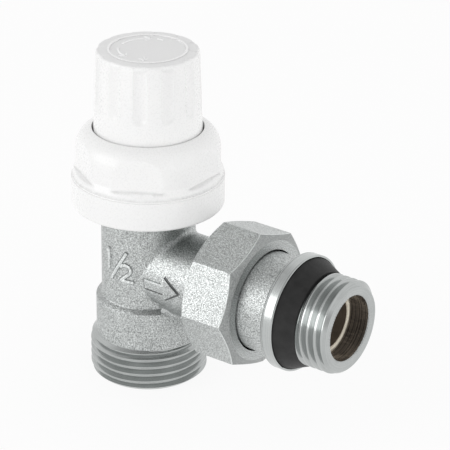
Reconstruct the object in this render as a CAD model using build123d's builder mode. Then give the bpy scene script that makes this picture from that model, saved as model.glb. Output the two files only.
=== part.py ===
from build123d import *
import os
from math import acos, cos, degrees, pi, radians, sin, tan

# Angled radiator valve: a screwed inlet below, a union tailpiece to the side, and a two-piece
# hand cap that presses the stem of a lift valve in the corner between them. All in millimetres.
# Frame: the origin is the centre of the inlet's end face, +Z runs up the stem axis and +X runs
# out along the outlet axis. The valve is drawn open, with the union done up.

# Clearances
thread_gap = 0.10  # radial, between the two sides of a screwed pair
guide_gap = 0.05  # radial, between the stem and what guides it
slip_gap = 0.10  # radial, between a piece and what it is slipped over
turning_gap = 0.10  # along the axis, between faces that turn on each other
running_gap = 0.30  # between the knob's flange and the collar that it travels in
hole_gap = 0.43  # radial, between the knob and the collar's hole
neck_gap = 0.37  # radial, between the union nut's hole and the tailpiece's neck
collar_gap = 0.60  # radial, between the tailpiece's collar and the union nut's thread
skirt_gap = 0.60  # radial, between the insert's skirt and the valve chamber
disc_gap = 0.50  # radial, between the disc and the valve chamber
spring_gap = 0.75  # radial, between the spring and its chamber
washer_gap = 0.40  # radial, between the spring's washer and its chamber

# Travel of the valve
valve_lift = 3.0
closing_height = 11.8  # stem tip above the body's top face with the valve shut

# Valve body, outside
inlet_thread_d = 26.441
inlet_thread_length = 9.6
inlet_chamfer = 0.9
barrel_step = 1.32  # of the barrel in from the inlet thread
shoulder_drop = 7.8  # of the barrel's top below the outlet axis
shoulder_height = 2.2
shoulder_fillet = 1.8
neck_d = 21.2
head_thread_d = 30.0
head_thread_length = 6.5
head_chamfer = 0.6
head_flare = 2.4
body_height = 49.5
outlet_drop = 23.1  # of the outlet axis below the body's top face
branch_d = 18.6
branch_fillet = 1.4
branch_length = 28.0
union_thread_length = 7.0
union_chamfer = 0.8

# Valve body, inside
cone_mouth_d = 19.8
cone_half_angle = 15.0
socket_d = 16.2
socket_depth = 11.6
flow_bore_d = 11.0
outlet_bore_d = 11.6
seat_drop = 0.2  # of the seat below the outlet bore
seat_lip_width = 1.3
seat_lip_height = 1.4
chamber_d = 16.4
insert_thread_step = 0.7  # of the insert's thread out from the chamber
insert_thread_length = 12.2
spigot_socket_d = 19.6

# Valve insert, screwed into the body's head
insert_flange_cover = 0.8  # of the flange past the sealing ring's groove
insert_flange_thickness = 1.3
insert_seal_section = 1.5
insert_skirt_length = 2.5
insert_floor_thickness = 1.2
insert_hex_wall = 2.3
insert_hex_height = 4.5

# Gland, screwed into the insert
gland_step = 0.4  # of the gland's thread out from the spring chamber
gland_thread_length = 5.0
gland_hex_step = 0.8
gland_hex_height = 3.5
packing_width = 1.6
packing_washer_thickness = 0.8
hex_chamfer = 0.4

# Stem, spring and disc
stem_d = 4.0
pin_step = 0.5  # of the pin and the stud in from the stem
pin_shoulder = 1.0  # stem left above the clip
stud_proud = 0.4
clip_groove_depth = 0.4
clip_reach = 1.0
clip_thickness = 0.6
spring_length = 10.8
spring_wire_d = 0.9
spring_coil_d = 7.2
spring_turns = 5
spring_washer_thickness = 0.8
disc_seal_thickness = 2.2
disc_seal_proud = 0.5
disc_holder_wall = 0.5
disc_holder_web = 2.0
disc_washer_d = 7.6
disc_washer_thickness = 0.8
disc_nut_hex = 5.5
disc_nut_height = 2.2

# Union nut and tailpiece
nut_sides = 8
nut_wall = 1.5  # at the flats
nut_turn = 3.2  # degrees that the corners stand past the +Y direction
nut_length = 12.3
nut_lip = 2.5
nut_front_inset = 1.12  # of the end faces' rims in from the flats
nut_back_inset = 0.72
nut_bevel = 30.0  # degrees
tail_collar_bearing = 1.153  # of the tailpiece's collar behind the nut's lip
tail_collar_thickness = 2.0
tail_spigot_length = 2.8
tail_seal_section = 1.4
tail_neck_length = 9.85
tail_bore_d = 12.03
outlet_thread_d = 20.955
outlet_thread_length = 7.3
outlet_chamfer = 0.88
outlet_socket_d = 14.74
outlet_socket_depth = 5.0

# Outlet seal and the ring behind it
ring_shoulder = 0.62  # of the tailpiece's neck out from the outlet thread
ring_width = 2.57
ring_thickness = 3.1
ring_recess = 0.65
ring_rim = 0.55
ring_bevel = 0.45
cone_seal_length = 4.25
cone_seal_tip = 0.07  # of the seal's tip out from the outlet thread
seal_seat_depth = 1.08

# Cap collar
collar_drop = 8.3  # of the collar's lower edge below the body's top face
collar_wall = 1.0  # outside the head thread
collar_step = 0.92  # of the lower band out from the wall
collar_band = 6.9
collar_ledge = 2.3
collar_wall_height = 4.0
dome_radius = 5.0
collar_roof = 2.1
collar_flat_count = 6
collar_flat_depth = 0.85
collar_flat_rise = 1.8  # of the flats' lower edge above the band
collar_edge_fillet = 0.7
track_inset = 1.2  # of the knob's track in from the head thread

# Cap knob
knob_lip = 1.5  # of the flange out from the knob's foot
knob_draft = 0.7  # of the knob's top in from its foot
knob_height = 17.9  # above the collar's hole
knob_edge_fillet = 0.6
knob_wall = 1.8
knob_roof = 2.0
knob_boss_d = 6.8
rib_count = 4
rib_thickness = 1.2
rib_inset = 2.6  # of the ribs above the boss's end
flute_count = 12
flute_radius = 2.6
flute_depth = 0.55
flute_rise = 5.3  # of the flutes' lower end above the collar's hole
face_ring_inset = 2.5  # of the top face's ring in from the knob's edge
face_ring_width = 0.5
face_ring_height = 0.2

# Diameters that follow from those sizes
barrel_d = inlet_thread_d - 2 * barrel_step
insert_thread_d = chamber_d + 2 * insert_thread_step
insert_flange_d = insert_thread_d + 2 * (insert_seal_section + insert_flange_cover)
spring_chamber_d = spring_coil_d + spring_wire_d + 2 * spring_gap
spring_washer_d = spring_chamber_d - 2 * washer_gap
gland_thread_d = spring_chamber_d + 2 * gland_step
gland_hex = gland_thread_d + 2 * gland_hex_step
insert_hex = gland_thread_d + 2 * insert_hex_wall
pin_d = stem_d - 2 * pin_step
stud_d = stem_d - 2 * pin_step
packing_d = pin_d + 2 * packing_width
clip_groove_d = stem_d - 2 * clip_groove_depth
clip_d = stem_d + 2 * clip_reach
disc_holder_d = chamber_d - 2 * disc_gap
disc_seal_d = disc_holder_d - 2 * (disc_holder_wall + slip_gap)
tail_neck_d = outlet_thread_d + 2 * ring_shoulder
nut_hole_d = tail_neck_d + 2 * neck_gap
tail_collar_d = nut_hole_d + 2 * tail_collar_bearing
union_thread_d = tail_collar_d + 2 * collar_gap
nut_flats = union_thread_d + 2 * nut_wall
nut_corner_d = nut_flats / cos(pi / nut_sides)
nut_front_land_d = nut_flats - 2 * nut_front_inset
nut_back_land_d = nut_flats - 2 * nut_back_inset
spigot_d = spigot_socket_d - 2 * slip_gap
ring_d = outlet_thread_d + 2 * ring_width
seal_seat_d = outlet_thread_d - 2 * seal_seat_depth
cone_seal_tip_d = outlet_thread_d + 2 * cone_seal_tip
collar_wall_d = head_thread_d + 2 * (thread_gap + collar_wall)
collar_d = collar_wall_d + 2 * collar_step
collar_flats = collar_wall_d - 2 * collar_flat_depth
track_d = head_thread_d - 2 * track_inset
knob_flange_d = track_d - 2 * running_gap
knob_foot_d = knob_flange_d - 2 * knob_lip
knob_top_d = knob_foot_d - 2 * knob_draft
collar_hole_d = knob_foot_d + 2 * hole_gap
face_ring_d = knob_top_d - 2 * face_ring_inset

# Heights along the stem axis
outlet_height = body_height - outlet_drop
barrel_top = outlet_height - shoulder_drop
neck_bottom = barrel_top + shoulder_height
head_bottom = body_height - head_thread_length
cone_depth = (cone_mouth_d - socket_d) / 2 / tan(radians(cone_half_angle))
seat_height = outlet_height - outlet_bore_d / 2 - seat_drop
chamber_floor = seat_height - seat_lip_height
flange_seat = body_height - insert_flange_thickness
insert_seal_floor = flange_seat - insert_seal_section
insert_thread_bottom = insert_seal_floor - insert_thread_length
insert_bottom = insert_thread_bottom - insert_skirt_length
spring_floor = insert_bottom + insert_floor_thickness
insert_top = body_height + insert_hex_height
gland_bottom = insert_top - gland_thread_length
gland_top = insert_top + gland_hex_height
packing_floor = gland_bottom + packing_washer_thickness
packing_section = (packing_d - pin_d) / 2 - 2 * guide_gap
spring_top = spring_floor + spring_length
clip_bottom = spring_top + spring_washer_thickness
clip_top = clip_bottom + clip_thickness
stem_tip = body_height + closing_height + valve_lift
seal_bottom = seat_height + valve_lift
seal_top = seal_bottom + disc_seal_thickness
holder_top = seal_top + disc_holder_web
disc_washer_bottom = seal_bottom - disc_washer_thickness
disc_nut_bottom = disc_washer_bottom - disc_nut_height
collar_bottom = body_height - collar_drop
band_top = collar_bottom + collar_band
ledge_top = band_top + collar_ledge
dome_bottom = ledge_top + collar_wall_height
dome_axis = collar_wall_d / 2 - dome_radius
dome_sweep = degrees(acos((collar_hole_d / 2 - dome_axis) / dome_radius))
hole_top = dome_bottom + dome_radius * sin(radians(dome_sweep))
track_top = hole_top - collar_roof
knob_flange_top = track_top - running_gap
knob_bottom = body_height + valve_lift + 2 * running_gap
knob_top = hole_top + knob_height
knob_ceiling = knob_top - knob_roof
boss_bottom = stem_tip + turning_gap

# Places along the outlet axis
union_thread_start = branch_length - union_thread_length
tail_collar_back = branch_length + turning_gap
tail_collar_front = tail_collar_back + tail_collar_thickness
tail_back = tail_collar_back - tail_spigot_length
nut_lip_back = tail_collar_front + turning_gap
nut_front = nut_lip_back + nut_lip
nut_back = nut_front - nut_length
ring_back = tail_collar_front + tail_neck_length
ring_front = ring_back + ring_thickness
seal_back = ring_front - ring_recess
outlet_thread_start = ring_front + cone_seal_length
outlet_end = outlet_thread_start + outlet_thread_length
outlet_axis = Axis((0, 0, outlet_height), (1, 0, 0))


def on_outlet(x, r):
    """Point of a half section drawn on the XZ plane, r out from the outlet axis."""
    return (x, outlet_height + r)


# Valve body: turned barrel, neck and head with the branch forged on, then bored from both ends
with BuildPart() as valve_body:
    with BuildSketch(Plane.XZ):
        with BuildLine():
            FilletPolyline(
                (0, 0),
                (inlet_thread_d / 2 - inlet_chamfer, 0),
                (inlet_thread_d / 2, inlet_chamfer),
                (inlet_thread_d / 2, inlet_thread_length - inlet_chamfer),
                (barrel_d / 2, inlet_thread_length),
                (barrel_d / 2, barrel_top),
                (neck_d / 2, neck_bottom),
                (neck_d / 2, head_bottom - head_flare),
                (head_thread_d / 2 - head_chamfer, head_bottom),
                (head_thread_d / 2, head_bottom + head_chamfer),
                (head_thread_d / 2, body_height - head_chamfer),
                (head_thread_d / 2 - head_chamfer, body_height),
                (0, body_height),
                radius=[0, 0, 0, 0, 0, shoulder_fillet, shoulder_fillet, 0, 0, 0, 0, 0, 0],
                close=True,
            )
        make_face()
    revolve(axis=Axis.Z)
    with BuildSketch(Plane.YZ):
        with Locations((0, outlet_height)):
            Circle(branch_d / 2)
    extrude(amount=branch_length)
    junction = valve_body.edges().filter_by(
        lambda edge: edge.geom_type != GeomType.CIRCLE and edge.geom_type != GeomType.LINE
    )
    fillet(junction, branch_fillet)
    with BuildSketch(Plane.XZ):
        with BuildLine():
            Polyline(
                on_outlet(union_thread_start, 0),
                on_outlet(union_thread_start, union_thread_d / 2 - thread_gap - union_chamfer),
                on_outlet(union_thread_start + union_chamfer, union_thread_d / 2 - thread_gap),
                on_outlet(branch_length - union_chamfer, union_thread_d / 2 - thread_gap),
                on_outlet(branch_length, union_thread_d / 2 - thread_gap - union_chamfer),
                on_outlet(branch_length, 0),
                close=True,
            )
        make_face()
    revolve(axis=outlet_axis)
    with BuildSketch(Plane.XZ):
        with BuildLine():
            Polyline(
                (0, 0),
                (cone_mouth_d / 2, 0),
                (socket_d / 2, cone_depth),
                (socket_d / 2, socket_depth),
                (flow_bore_d / 2, socket_depth),
                (flow_bore_d / 2, seat_height),
                (flow_bore_d / 2 + seat_lip_width, seat_height),
                (flow_bore_d / 2 + seat_lip_width, chamber_floor),
                (chamber_d / 2, chamber_floor),
                (chamber_d / 2, insert_thread_bottom),
                (insert_thread_d / 2, insert_thread_bottom),
                (insert_thread_d / 2, insert_seal_floor),
                (insert_thread_d / 2 + insert_seal_section, insert_seal_floor),
                (insert_thread_d / 2 + insert_seal_section, flange_seat),
                (insert_flange_d / 2 + slip_gap, flange_seat),
                (insert_flange_d / 2 + slip_gap, body_height),
                (0, body_height),
                close=True,
            )
        make_face()
    revolve(axis=Axis.Z, mode=Mode.SUBTRACT)
    with BuildSketch(Plane.YZ):
        with Locations((0, outlet_height)):
            Circle(outlet_bore_d / 2)
    extrude(amount=branch_length, mode=Mode.SUBTRACT)
    with BuildSketch(Plane.YZ.offset(branch_length)):
        with Locations((0, outlet_height)):
            Circle(spigot_socket_d / 2)
    extrude(amount=-tail_spigot_length, mode=Mode.SUBTRACT)
valve_body.part.label = "valve_body"

# Insert housing: the screwed-in cartridge that guides the stem and holds the spring
with BuildPart() as insert_housing:
    with BuildSketch(Plane.XZ):
        with BuildLine():
            Polyline(
                (0, insert_bottom),
                (chamber_d / 2 - skirt_gap, insert_bottom),
                (chamber_d / 2 - skirt_gap, insert_thread_bottom + slip_gap),
                (insert_thread_d / 2 - thread_gap, insert_thread_bottom + slip_gap),
                (insert_thread_d / 2 - thread_gap, flange_seat),
                (insert_flange_d / 2, flange_seat),
                (insert_flange_d / 2, body_height),
                (0, body_height),
                close=True,
            )
        make_face()
    revolve(axis=Axis.Z)
    with BuildSketch(Plane.XY.offset(body_height)):
        RegularPolygon(insert_hex / 2, 6, major_radius=False)
    extrude(amount=insert_hex_height)
    chamfer(insert_housing.faces().sort_by(Axis.Z)[-1].edges(), hex_chamfer)
    with BuildSketch(Plane.XZ):
        with BuildLine():
            Polyline(
                (0, insert_bottom),
                (stem_d / 2 + guide_gap, insert_bottom),
                (stem_d / 2 + guide_gap, spring_floor),
                (spring_chamber_d / 2, spring_floor),
                (spring_chamber_d / 2, gland_bottom),
                (gland_thread_d / 2, gland_bottom),
                (gland_thread_d / 2, insert_top),
                (0, insert_top),
                close=True,
            )
        make_face()
    revolve(axis=Axis.Z, mode=Mode.SUBTRACT)
insert_housing.part.label = "insert_housing"

# Sealing ring between the insert's flange and the body
with BuildPart() as insert_o_ring:
    with Locations((0, 0, insert_seal_floor + insert_seal_section / 2)):
        Torus(insert_thread_d / 2 + insert_seal_section / 2, insert_seal_section / 2 - guide_gap)
insert_o_ring.part.label = "insert_o_ring"

# Gland nut: holds the packing round the stem's pin
with BuildPart() as gland_nut:
    with BuildSketch(Plane.XY.offset(gland_bottom)):
        Circle(gland_thread_d / 2 - thread_gap)
    extrude(amount=gland_thread_length)
    with BuildSketch(Plane.XY.offset(insert_top)):
        RegularPolygon(gland_hex / 2, 6, major_radius=False)
    extrude(amount=gland_hex_height)
    chamfer(gland_nut.faces().sort_by(Axis.Z)[-1].edges(), hex_chamfer)
    with BuildSketch(Plane.XY.offset(gland_bottom)):
        Circle(packing_d / 2)
    extrude(amount=packing_washer_thickness + 2 * (packing_section + guide_gap), mode=Mode.SUBTRACT)
    with BuildSketch(Plane.XY.offset(gland_bottom)):
        Circle(pin_d / 2 + guide_gap)
    extrude(amount=gland_top - gland_bottom, mode=Mode.SUBTRACT)
gland_nut.part.label = "gland_nut"

# Packing: a washer below and two sealing rings above it
with BuildPart() as gland_washer:
    with BuildSketch(Plane.XY.offset(gland_bottom)):
        Circle(packing_d / 2 - guide_gap)
        Circle(pin_d / 2 + guide_gap, mode=Mode.SUBTRACT)
    extrude(amount=packing_washer_thickness)
gland_washer.part.label = "gland_washer"

packing_mean_radius = (packing_d + pin_d) / 4
with BuildPart() as gland_o_ring_lower:
    with Locations((0, 0, packing_floor + packing_section / 2)):
        Torus(packing_mean_radius, packing_section / 2)
gland_o_ring_lower.part.label = "gland_o_ring_lower"

with BuildPart() as gland_o_ring_upper:
    with Locations((0, 0, packing_floor + packing_section * 3 / 2 + guide_gap)):
        Torus(packing_mean_radius, packing_section / 2)
gland_o_ring_upper.part.label = "gland_o_ring_upper"

# Stem: stud for the disc, guided shank with a clip groove, and the pin that the knob presses
with BuildPart() as stem:
    with BuildSketch(Plane.XZ):
        with BuildLine():
            Polyline(
                (0, disc_nut_bottom - stud_proud),
                (stud_d / 2, disc_nut_bottom - stud_proud),
                (stud_d / 2, holder_top),
                (stem_d / 2, holder_top),
                (stem_d / 2, clip_bottom),
                (clip_groove_d / 2, clip_bottom),
                (clip_groove_d / 2, clip_top),
                (stem_d / 2, clip_top),
                (stem_d / 2, clip_top + pin_shoulder),
                (pin_d / 2, clip_top + pin_shoulder),
                (pin_d / 2, stem_tip),
                (0, stem_tip),
                close=True,
            )
        make_face()
    revolve(axis=Axis.Z)
    fillet(stem.edges().filter_by(GeomType.CIRCLE).sort_by(Axis.Z)[-1], pin_d / 6)
stem.part.label = "stem"

# Return spring, which lifts the stem off the seat
with BuildPart() as return_spring:
    with BuildLine(Plane.XY.offset(spring_floor + spring_wire_d / 2 + guide_gap)) as coil:
        coil_height = spring_length - spring_wire_d - 2 * guide_gap
        Helix(coil_height / spring_turns, coil_height, spring_coil_d / 2)
    with BuildSketch(Plane(coil.line @ 0, z_dir=coil.line % 0)):
        Circle(spring_wire_d / 2)
    sweep(is_frenet=True)
return_spring.part.label = "return_spring"

# Washer and clip that pass the spring's push to the stem
with BuildPart() as spring_washer:
    with BuildSketch(Plane.XY.offset(spring_top)):
        Circle(spring_washer_d / 2)
        Circle(stem_d / 2 + guide_gap, mode=Mode.SUBTRACT)
    extrude(amount=spring_washer_thickness)
spring_washer.part.label = "spring_washer"

with BuildPart() as stem_clip:
    with BuildSketch(Plane.XY.offset(clip_bottom)):
        Circle(clip_d / 2)
        Circle(clip_groove_d / 2 + guide_gap, mode=Mode.SUBTRACT)
        with Locations((clip_d / 2, 0)):
            Rectangle(clip_d, clip_groove_d / 2, mode=Mode.SUBTRACT)
    extrude(amount=clip_thickness)
stem_clip.part.label = "stem_clip"

# Valve disc: a cup with a rubber face, held on the stud by a washer and a nut
with BuildPart() as disc_holder:
    with BuildSketch(Plane.XY.offset(seal_bottom + disc_seal_proud)):
        Circle(disc_holder_d / 2)
    extrude(amount=holder_top - seal_bottom - disc_seal_proud)
    chamfer(disc_holder.edges().sort_by(Axis.Z)[-1], disc_holder_web / 3)
    with BuildSketch(Plane.XY.offset(seal_bottom + disc_seal_proud)):
        Circle(disc_seal_d / 2 + slip_gap)
    extrude(amount=disc_seal_thickness - disc_seal_proud, mode=Mode.SUBTRACT)
    with BuildSketch(Plane.XY.offset(seal_bottom)):
        Circle(stud_d / 2 + guide_gap)
    extrude(amount=holder_top - seal_bottom, mode=Mode.SUBTRACT)
disc_holder.part.label = "disc_holder"

with BuildPart() as disc_seal:
    with BuildSketch(Plane.XY.offset(seal_bottom)):
        Circle(disc_seal_d / 2)
        Circle(stud_d / 2 + guide_gap, mode=Mode.SUBTRACT)
    extrude(amount=disc_seal_thickness)
disc_seal.part.label = "disc_seal"

with BuildPart() as disc_washer:
    with BuildSketch(Plane.XY.offset(disc_washer_bottom)):
        Circle(disc_washer_d / 2)
        Circle(stud_d / 2 + guide_gap, mode=Mode.SUBTRACT)
    extrude(amount=disc_washer_thickness)
disc_washer.part.label = "disc_washer"

with BuildPart() as disc_nut:
    with BuildSketch(Plane.XY.offset(disc_nut_bottom)):
        RegularPolygon(disc_nut_hex / 2, 6, major_radius=False)
        Circle(stud_d / 2 + guide_gap, mode=Mode.SUBTRACT)
    extrude(amount=disc_nut_height)
disc_nut.part.label = "disc_nut"

# Cap collar: screwed on the body's head, domed over the knob's flange, with six wrench flats
with BuildPart() as cap_collar:
    with BuildSketch(Plane.XZ):
        with BuildLine() as collar_section:
            lower = FilletPolyline(
                (0, collar_bottom),
                (collar_d / 2, collar_bottom),
                (collar_d / 2, band_top),
                (collar_wall_d / 2, ledge_top),
                (collar_wall_d / 2, dome_bottom),
                radius=[collar_edge_fillet, collar_edge_fillet / 3, collar_edge_fillet],
            )
            dome = JernArc(lower @ 1, (0, 1), dome_radius, dome_sweep)
            Polyline(dome @ 1, (0, hole_top), (0, collar_bottom))
        make_face()
    revolve(axis=Axis.Z)
    with BuildSketch(Plane.XY.offset(band_top + collar_flat_rise)):
        Circle(collar_d)
        RegularPolygon(
            collar_flats / 2,
            collar_flat_count,
            major_radius=False,
            rotation=180 / collar_flat_count,
            mode=Mode.SUBTRACT,
        )
    extrude(amount=hole_top - band_top, mode=Mode.SUBTRACT)
    with BuildSketch(Plane.XZ):
        with BuildLine():
            Polyline(
                (0, collar_bottom),
                (head_thread_d / 2 + thread_gap, collar_bottom),
                (head_thread_d / 2 + thread_gap, body_height),
                (track_d / 2, body_height),
                (track_d / 2, track_top),
                (collar_hole_d / 2, track_top),
                (collar_hole_d / 2, hole_top),
                (0, hole_top),
                close=True,
            )
        make_face()
    revolve(axis=Axis.Z, mode=Mode.SUBTRACT)
cap_collar.part.label = "cap_collar"

# Cap knob: fluted shell with a flange that the collar keeps in, and a ribbed boss over the stem
knob_lean = degrees(pi / 2 - acos((knob_foot_d - knob_top_d) / 2 / knob_height))
with BuildPart() as cap_knob:
    with BuildSketch(Plane.XZ):
        with BuildLine():
            FilletPolyline(
                (0, knob_bottom),
                (knob_flange_d / 2, knob_bottom),
                (knob_flange_d / 2, knob_flange_top),
                (knob_foot_d / 2, knob_flange_top),
                (knob_foot_d / 2, hole_top),
                (knob_top_d / 2, knob_top),
                (0, knob_top),
                radius=[0, 0, 0, 0, 0, knob_edge_fillet, 0],
                close=True,
            )
        make_face()
    revolve(axis=Axis.Z)
    flute_reach = knob_foot_d / 2 + flute_radius - flute_depth
    flute_foot = Location((flute_reach, 0, hole_top), (0, -knob_lean, 0))
    with PolarLocations(0, flute_count):
        with Locations(flute_foot * Location((0, 0, flute_rise + flute_radius))):
            Cylinder(
                flute_radius,
                knob_height,
                align=(Align.CENTER, Align.CENTER, Align.MIN),
                mode=Mode.SUBTRACT,
            )
            Sphere(flute_radius, mode=Mode.SUBTRACT)
    with BuildSketch(Plane.XZ):
        with BuildLine():
            Polyline(
                (0, knob_bottom),
                (knob_foot_d / 2 - knob_wall, knob_bottom),
                (knob_foot_d / 2 - knob_wall, hole_top),
                (knob_top_d / 2 - knob_wall, knob_ceiling),
                (0, knob_ceiling),
                close=True,
            )
        make_face()
    revolve(axis=Axis.Z, mode=Mode.SUBTRACT)
    with BuildSketch(Plane.XY.offset(knob_ceiling)):
        with PolarLocations(0, rib_count, start_angle=180 / rib_count):
            Rectangle((knob_top_d - knob_wall) / 2, rib_thickness, align=(Align.MIN, Align.CENTER))
    extrude(amount=boss_bottom + rib_inset - knob_ceiling)
    with BuildSketch(Plane.XY.offset(knob_ceiling)):
        Circle(knob_boss_d / 2)
    extrude(amount=boss_bottom - knob_ceiling)
    with BuildSketch(Plane.XY.offset(knob_top)):
        Circle(face_ring_d / 2)
        Circle(face_ring_d / 2 - face_ring_width, mode=Mode.SUBTRACT)
    extrude(amount=face_ring_height)
cap_knob.part.label = "cap_knob"

# Union nut: eight flats, bevelled at both ends, with a lip that draws the tailpiece in
with BuildPart() as union_nut:
    with BuildSketch(Plane.YZ.offset(nut_back)):
        with Locations((0, outlet_height)):
            RegularPolygon(nut_flats / 2, nut_sides, major_radius=False, rotation=nut_turn)
    extrude(amount=nut_length)
    front_bevel = (nut_corner_d - nut_front_land_d) / 2 * tan(radians(nut_bevel))
    back_bevel = (nut_corner_d - nut_back_land_d) / 2 * tan(radians(nut_bevel))
    with BuildSketch(Plane.XZ):
        with BuildLine():
            Polyline(
                on_outlet(nut_back, 0),
                on_outlet(nut_back, nut_back_land_d / 2),
                on_outlet(nut_back + back_bevel, nut_corner_d / 2),
                on_outlet(nut_front - front_bevel, nut_corner_d / 2),
                on_outlet(nut_front, nut_front_land_d / 2),
                on_outlet(nut_front, 0),
                close=True,
            )
        make_face()
    revolve(axis=outlet_axis, mode=Mode.INTERSECT)
    with BuildSketch(Plane.YZ.offset(nut_back)):
        with Locations((0, outlet_height)):
            Circle(union_thread_d / 2)
    extrude(amount=nut_lip_back - nut_back, mode=Mode.SUBTRACT)
    with BuildSketch(Plane.YZ.offset(nut_lip_back)):
        with Locations((0, outlet_height)):
            Circle(nut_hole_d / 2)
    extrude(amount=nut_lip, mode=Mode.SUBTRACT)
union_nut.part.label = "union_nut"

# Tailpiece: grooved spigot, collar behind the nut's lip, neck, seal seat and outlet thread
groove_middle = tail_back + tail_spigot_length / 2
groove_floor = spigot_socket_d / 2 - tail_seal_section
with BuildPart() as tailpiece:
    with BuildSketch(Plane.XZ):
        with BuildLine():
            Polyline(
                on_outlet(tail_back, tail_bore_d / 2),
                on_outlet(tail_back, spigot_d / 2),
                on_outlet(groove_middle - tail_seal_section / 2, spigot_d / 2),
                on_outlet(groove_middle - tail_seal_section / 2, groove_floor),
                on_outlet(groove_middle + tail_seal_section / 2, groove_floor),
                on_outlet(groove_middle + tail_seal_section / 2, spigot_d / 2),
                on_outlet(tail_collar_back, spigot_d / 2),
                on_outlet(tail_collar_back, tail_collar_d / 2),
                on_outlet(tail_collar_front, tail_collar_d / 2),
                on_outlet(tail_collar_front, tail_neck_d / 2),
                on_outlet(ring_back, tail_neck_d / 2),
                on_outlet(ring_back, outlet_thread_d / 2),
                on_outlet(seal_back, outlet_thread_d / 2),
                on_outlet(seal_back, seal_seat_d / 2),
                on_outlet(outlet_thread_start, seal_seat_d / 2),
                on_outlet(outlet_thread_start, outlet_thread_d / 2),
                on_outlet(outlet_end - outlet_chamfer, outlet_thread_d / 2),
                on_outlet(outlet_end, outlet_thread_d / 2 - outlet_chamfer),
                on_outlet(outlet_end, outlet_socket_d / 2),
                on_outlet(outlet_end - outlet_socket_depth, outlet_socket_d / 2),
                on_outlet(outlet_end - outlet_socket_depth, tail_bore_d / 2),
                close=True,
            )
        make_face()
    revolve(axis=outlet_axis)
tailpiece.part.label = "tailpiece"

# Sealing ring in the spigot's groove
with BuildPart() as union_o_ring:
    with BuildSketch(Plane.XZ):
        with Locations(on_outlet(groove_middle, groove_floor + tail_seal_section / 2)):
            Circle(tail_seal_section / 2 - guide_gap)
    revolve(axis=outlet_axis)
union_o_ring.part.label = "union_o_ring"

# Backing ring: slipped over the outlet thread against the neck, recessed for the cone seal
with BuildPart() as backing_ring:
    with BuildSketch(Plane.XZ):
        with BuildLine():
            Polyline(
                on_outlet(ring_back, outlet_thread_d / 2 + slip_gap),
                on_outlet(ring_back, ring_d / 2 - ring_bevel),
                on_outlet(ring_back + ring_bevel, ring_d / 2),
                on_outlet(ring_front, ring_d / 2),
                on_outlet(ring_front, ring_d / 2 - ring_rim),
                on_outlet(seal_back, ring_d / 2 - ring_rim),
                on_outlet(seal_back, outlet_thread_d / 2 + slip_gap),
                close=True,
            )
        make_face()
    revolve(axis=outlet_axis)
backing_ring.part.label = "backing_ring"

# Cone seal: the rubber ring that is pressed into the radiator's socket
with BuildPart() as cone_seal:
    with BuildSketch(Plane.XZ):
        with BuildLine():
            Polyline(
                on_outlet(seal_back, seal_seat_d / 2 + guide_gap),
                on_outlet(seal_back, ring_d / 2 - ring_rim - guide_gap),
                on_outlet(ring_front, ring_d / 2 - ring_rim - guide_gap),
                on_outlet(outlet_thread_start, cone_seal_tip_d / 2),
                on_outlet(outlet_thread_start, seal_seat_d / 2 + guide_gap),
                close=True,
            )
        make_face()
    revolve(axis=outlet_axis)
cone_seal.part.label = "cone_seal"

os.makedirs("parts", exist_ok=True)
pieces = [
    valve_body,
    insert_housing,
    insert_o_ring,
    gland_nut,
    gland_washer,
    gland_o_ring_lower,
    gland_o_ring_upper,
    stem,
    return_spring,
    spring_washer,
    stem_clip,
    disc_holder,
    disc_seal,
    disc_washer,
    disc_nut,
    cap_collar,
    cap_knob,
    union_nut,
    tailpiece,
    union_o_ring,
    backing_ring,
    cone_seal,
]
for piece in pieces:
    export_step(piece.part, f"parts/{piece.part.label}.step")
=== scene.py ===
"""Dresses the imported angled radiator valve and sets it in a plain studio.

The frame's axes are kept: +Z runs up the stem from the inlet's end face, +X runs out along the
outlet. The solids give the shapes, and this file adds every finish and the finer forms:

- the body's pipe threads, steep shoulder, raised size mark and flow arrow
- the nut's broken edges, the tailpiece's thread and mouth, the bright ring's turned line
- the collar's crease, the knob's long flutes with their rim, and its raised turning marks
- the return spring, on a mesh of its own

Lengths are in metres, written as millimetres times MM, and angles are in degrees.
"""
import logging
import math
from dataclasses import dataclass
from enum import Enum
from typing import Callable, Sequence, Union

import bmesh
import bpy
from mathutils import Matrix, Vector


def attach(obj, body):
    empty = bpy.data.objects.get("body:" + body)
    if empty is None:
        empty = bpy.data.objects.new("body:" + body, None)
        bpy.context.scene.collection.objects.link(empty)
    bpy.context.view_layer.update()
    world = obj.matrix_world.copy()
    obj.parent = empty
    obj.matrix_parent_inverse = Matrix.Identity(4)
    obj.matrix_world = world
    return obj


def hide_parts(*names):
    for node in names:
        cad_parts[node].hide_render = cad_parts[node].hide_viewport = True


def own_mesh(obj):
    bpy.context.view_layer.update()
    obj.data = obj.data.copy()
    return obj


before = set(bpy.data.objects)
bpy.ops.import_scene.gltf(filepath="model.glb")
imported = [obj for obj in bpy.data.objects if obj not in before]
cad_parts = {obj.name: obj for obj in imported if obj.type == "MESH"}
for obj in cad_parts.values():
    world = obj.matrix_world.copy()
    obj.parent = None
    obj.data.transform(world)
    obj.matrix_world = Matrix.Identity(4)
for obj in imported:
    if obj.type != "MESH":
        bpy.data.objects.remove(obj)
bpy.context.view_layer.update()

MM = 0.001
OUTLET_HEIGHT = 26.4 * MM
PIPE_PITCH = 1.814 * MM
MERGE_DISTANCE = 0.0005 * MM
SLIVER = 0.0001 * MM
ROUND_STEPS = 6
NOISE_SPAN = (0.3, 0.7)
NICKEL_TINT = (0.965, 1.0, 0.99)
LOG = logging.getLogger("radiator_valve")

Colour = tuple[float, float, float, float]
Value = Union[float, int, bool, Sequence[float], bpy.types.NodeSocket]
Inputs = dict[Union[str, int], Value]
FlatLine = Sequence[tuple[float, float]]
ZonePick = Callable[[Vector, Vector], Enum]


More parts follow.
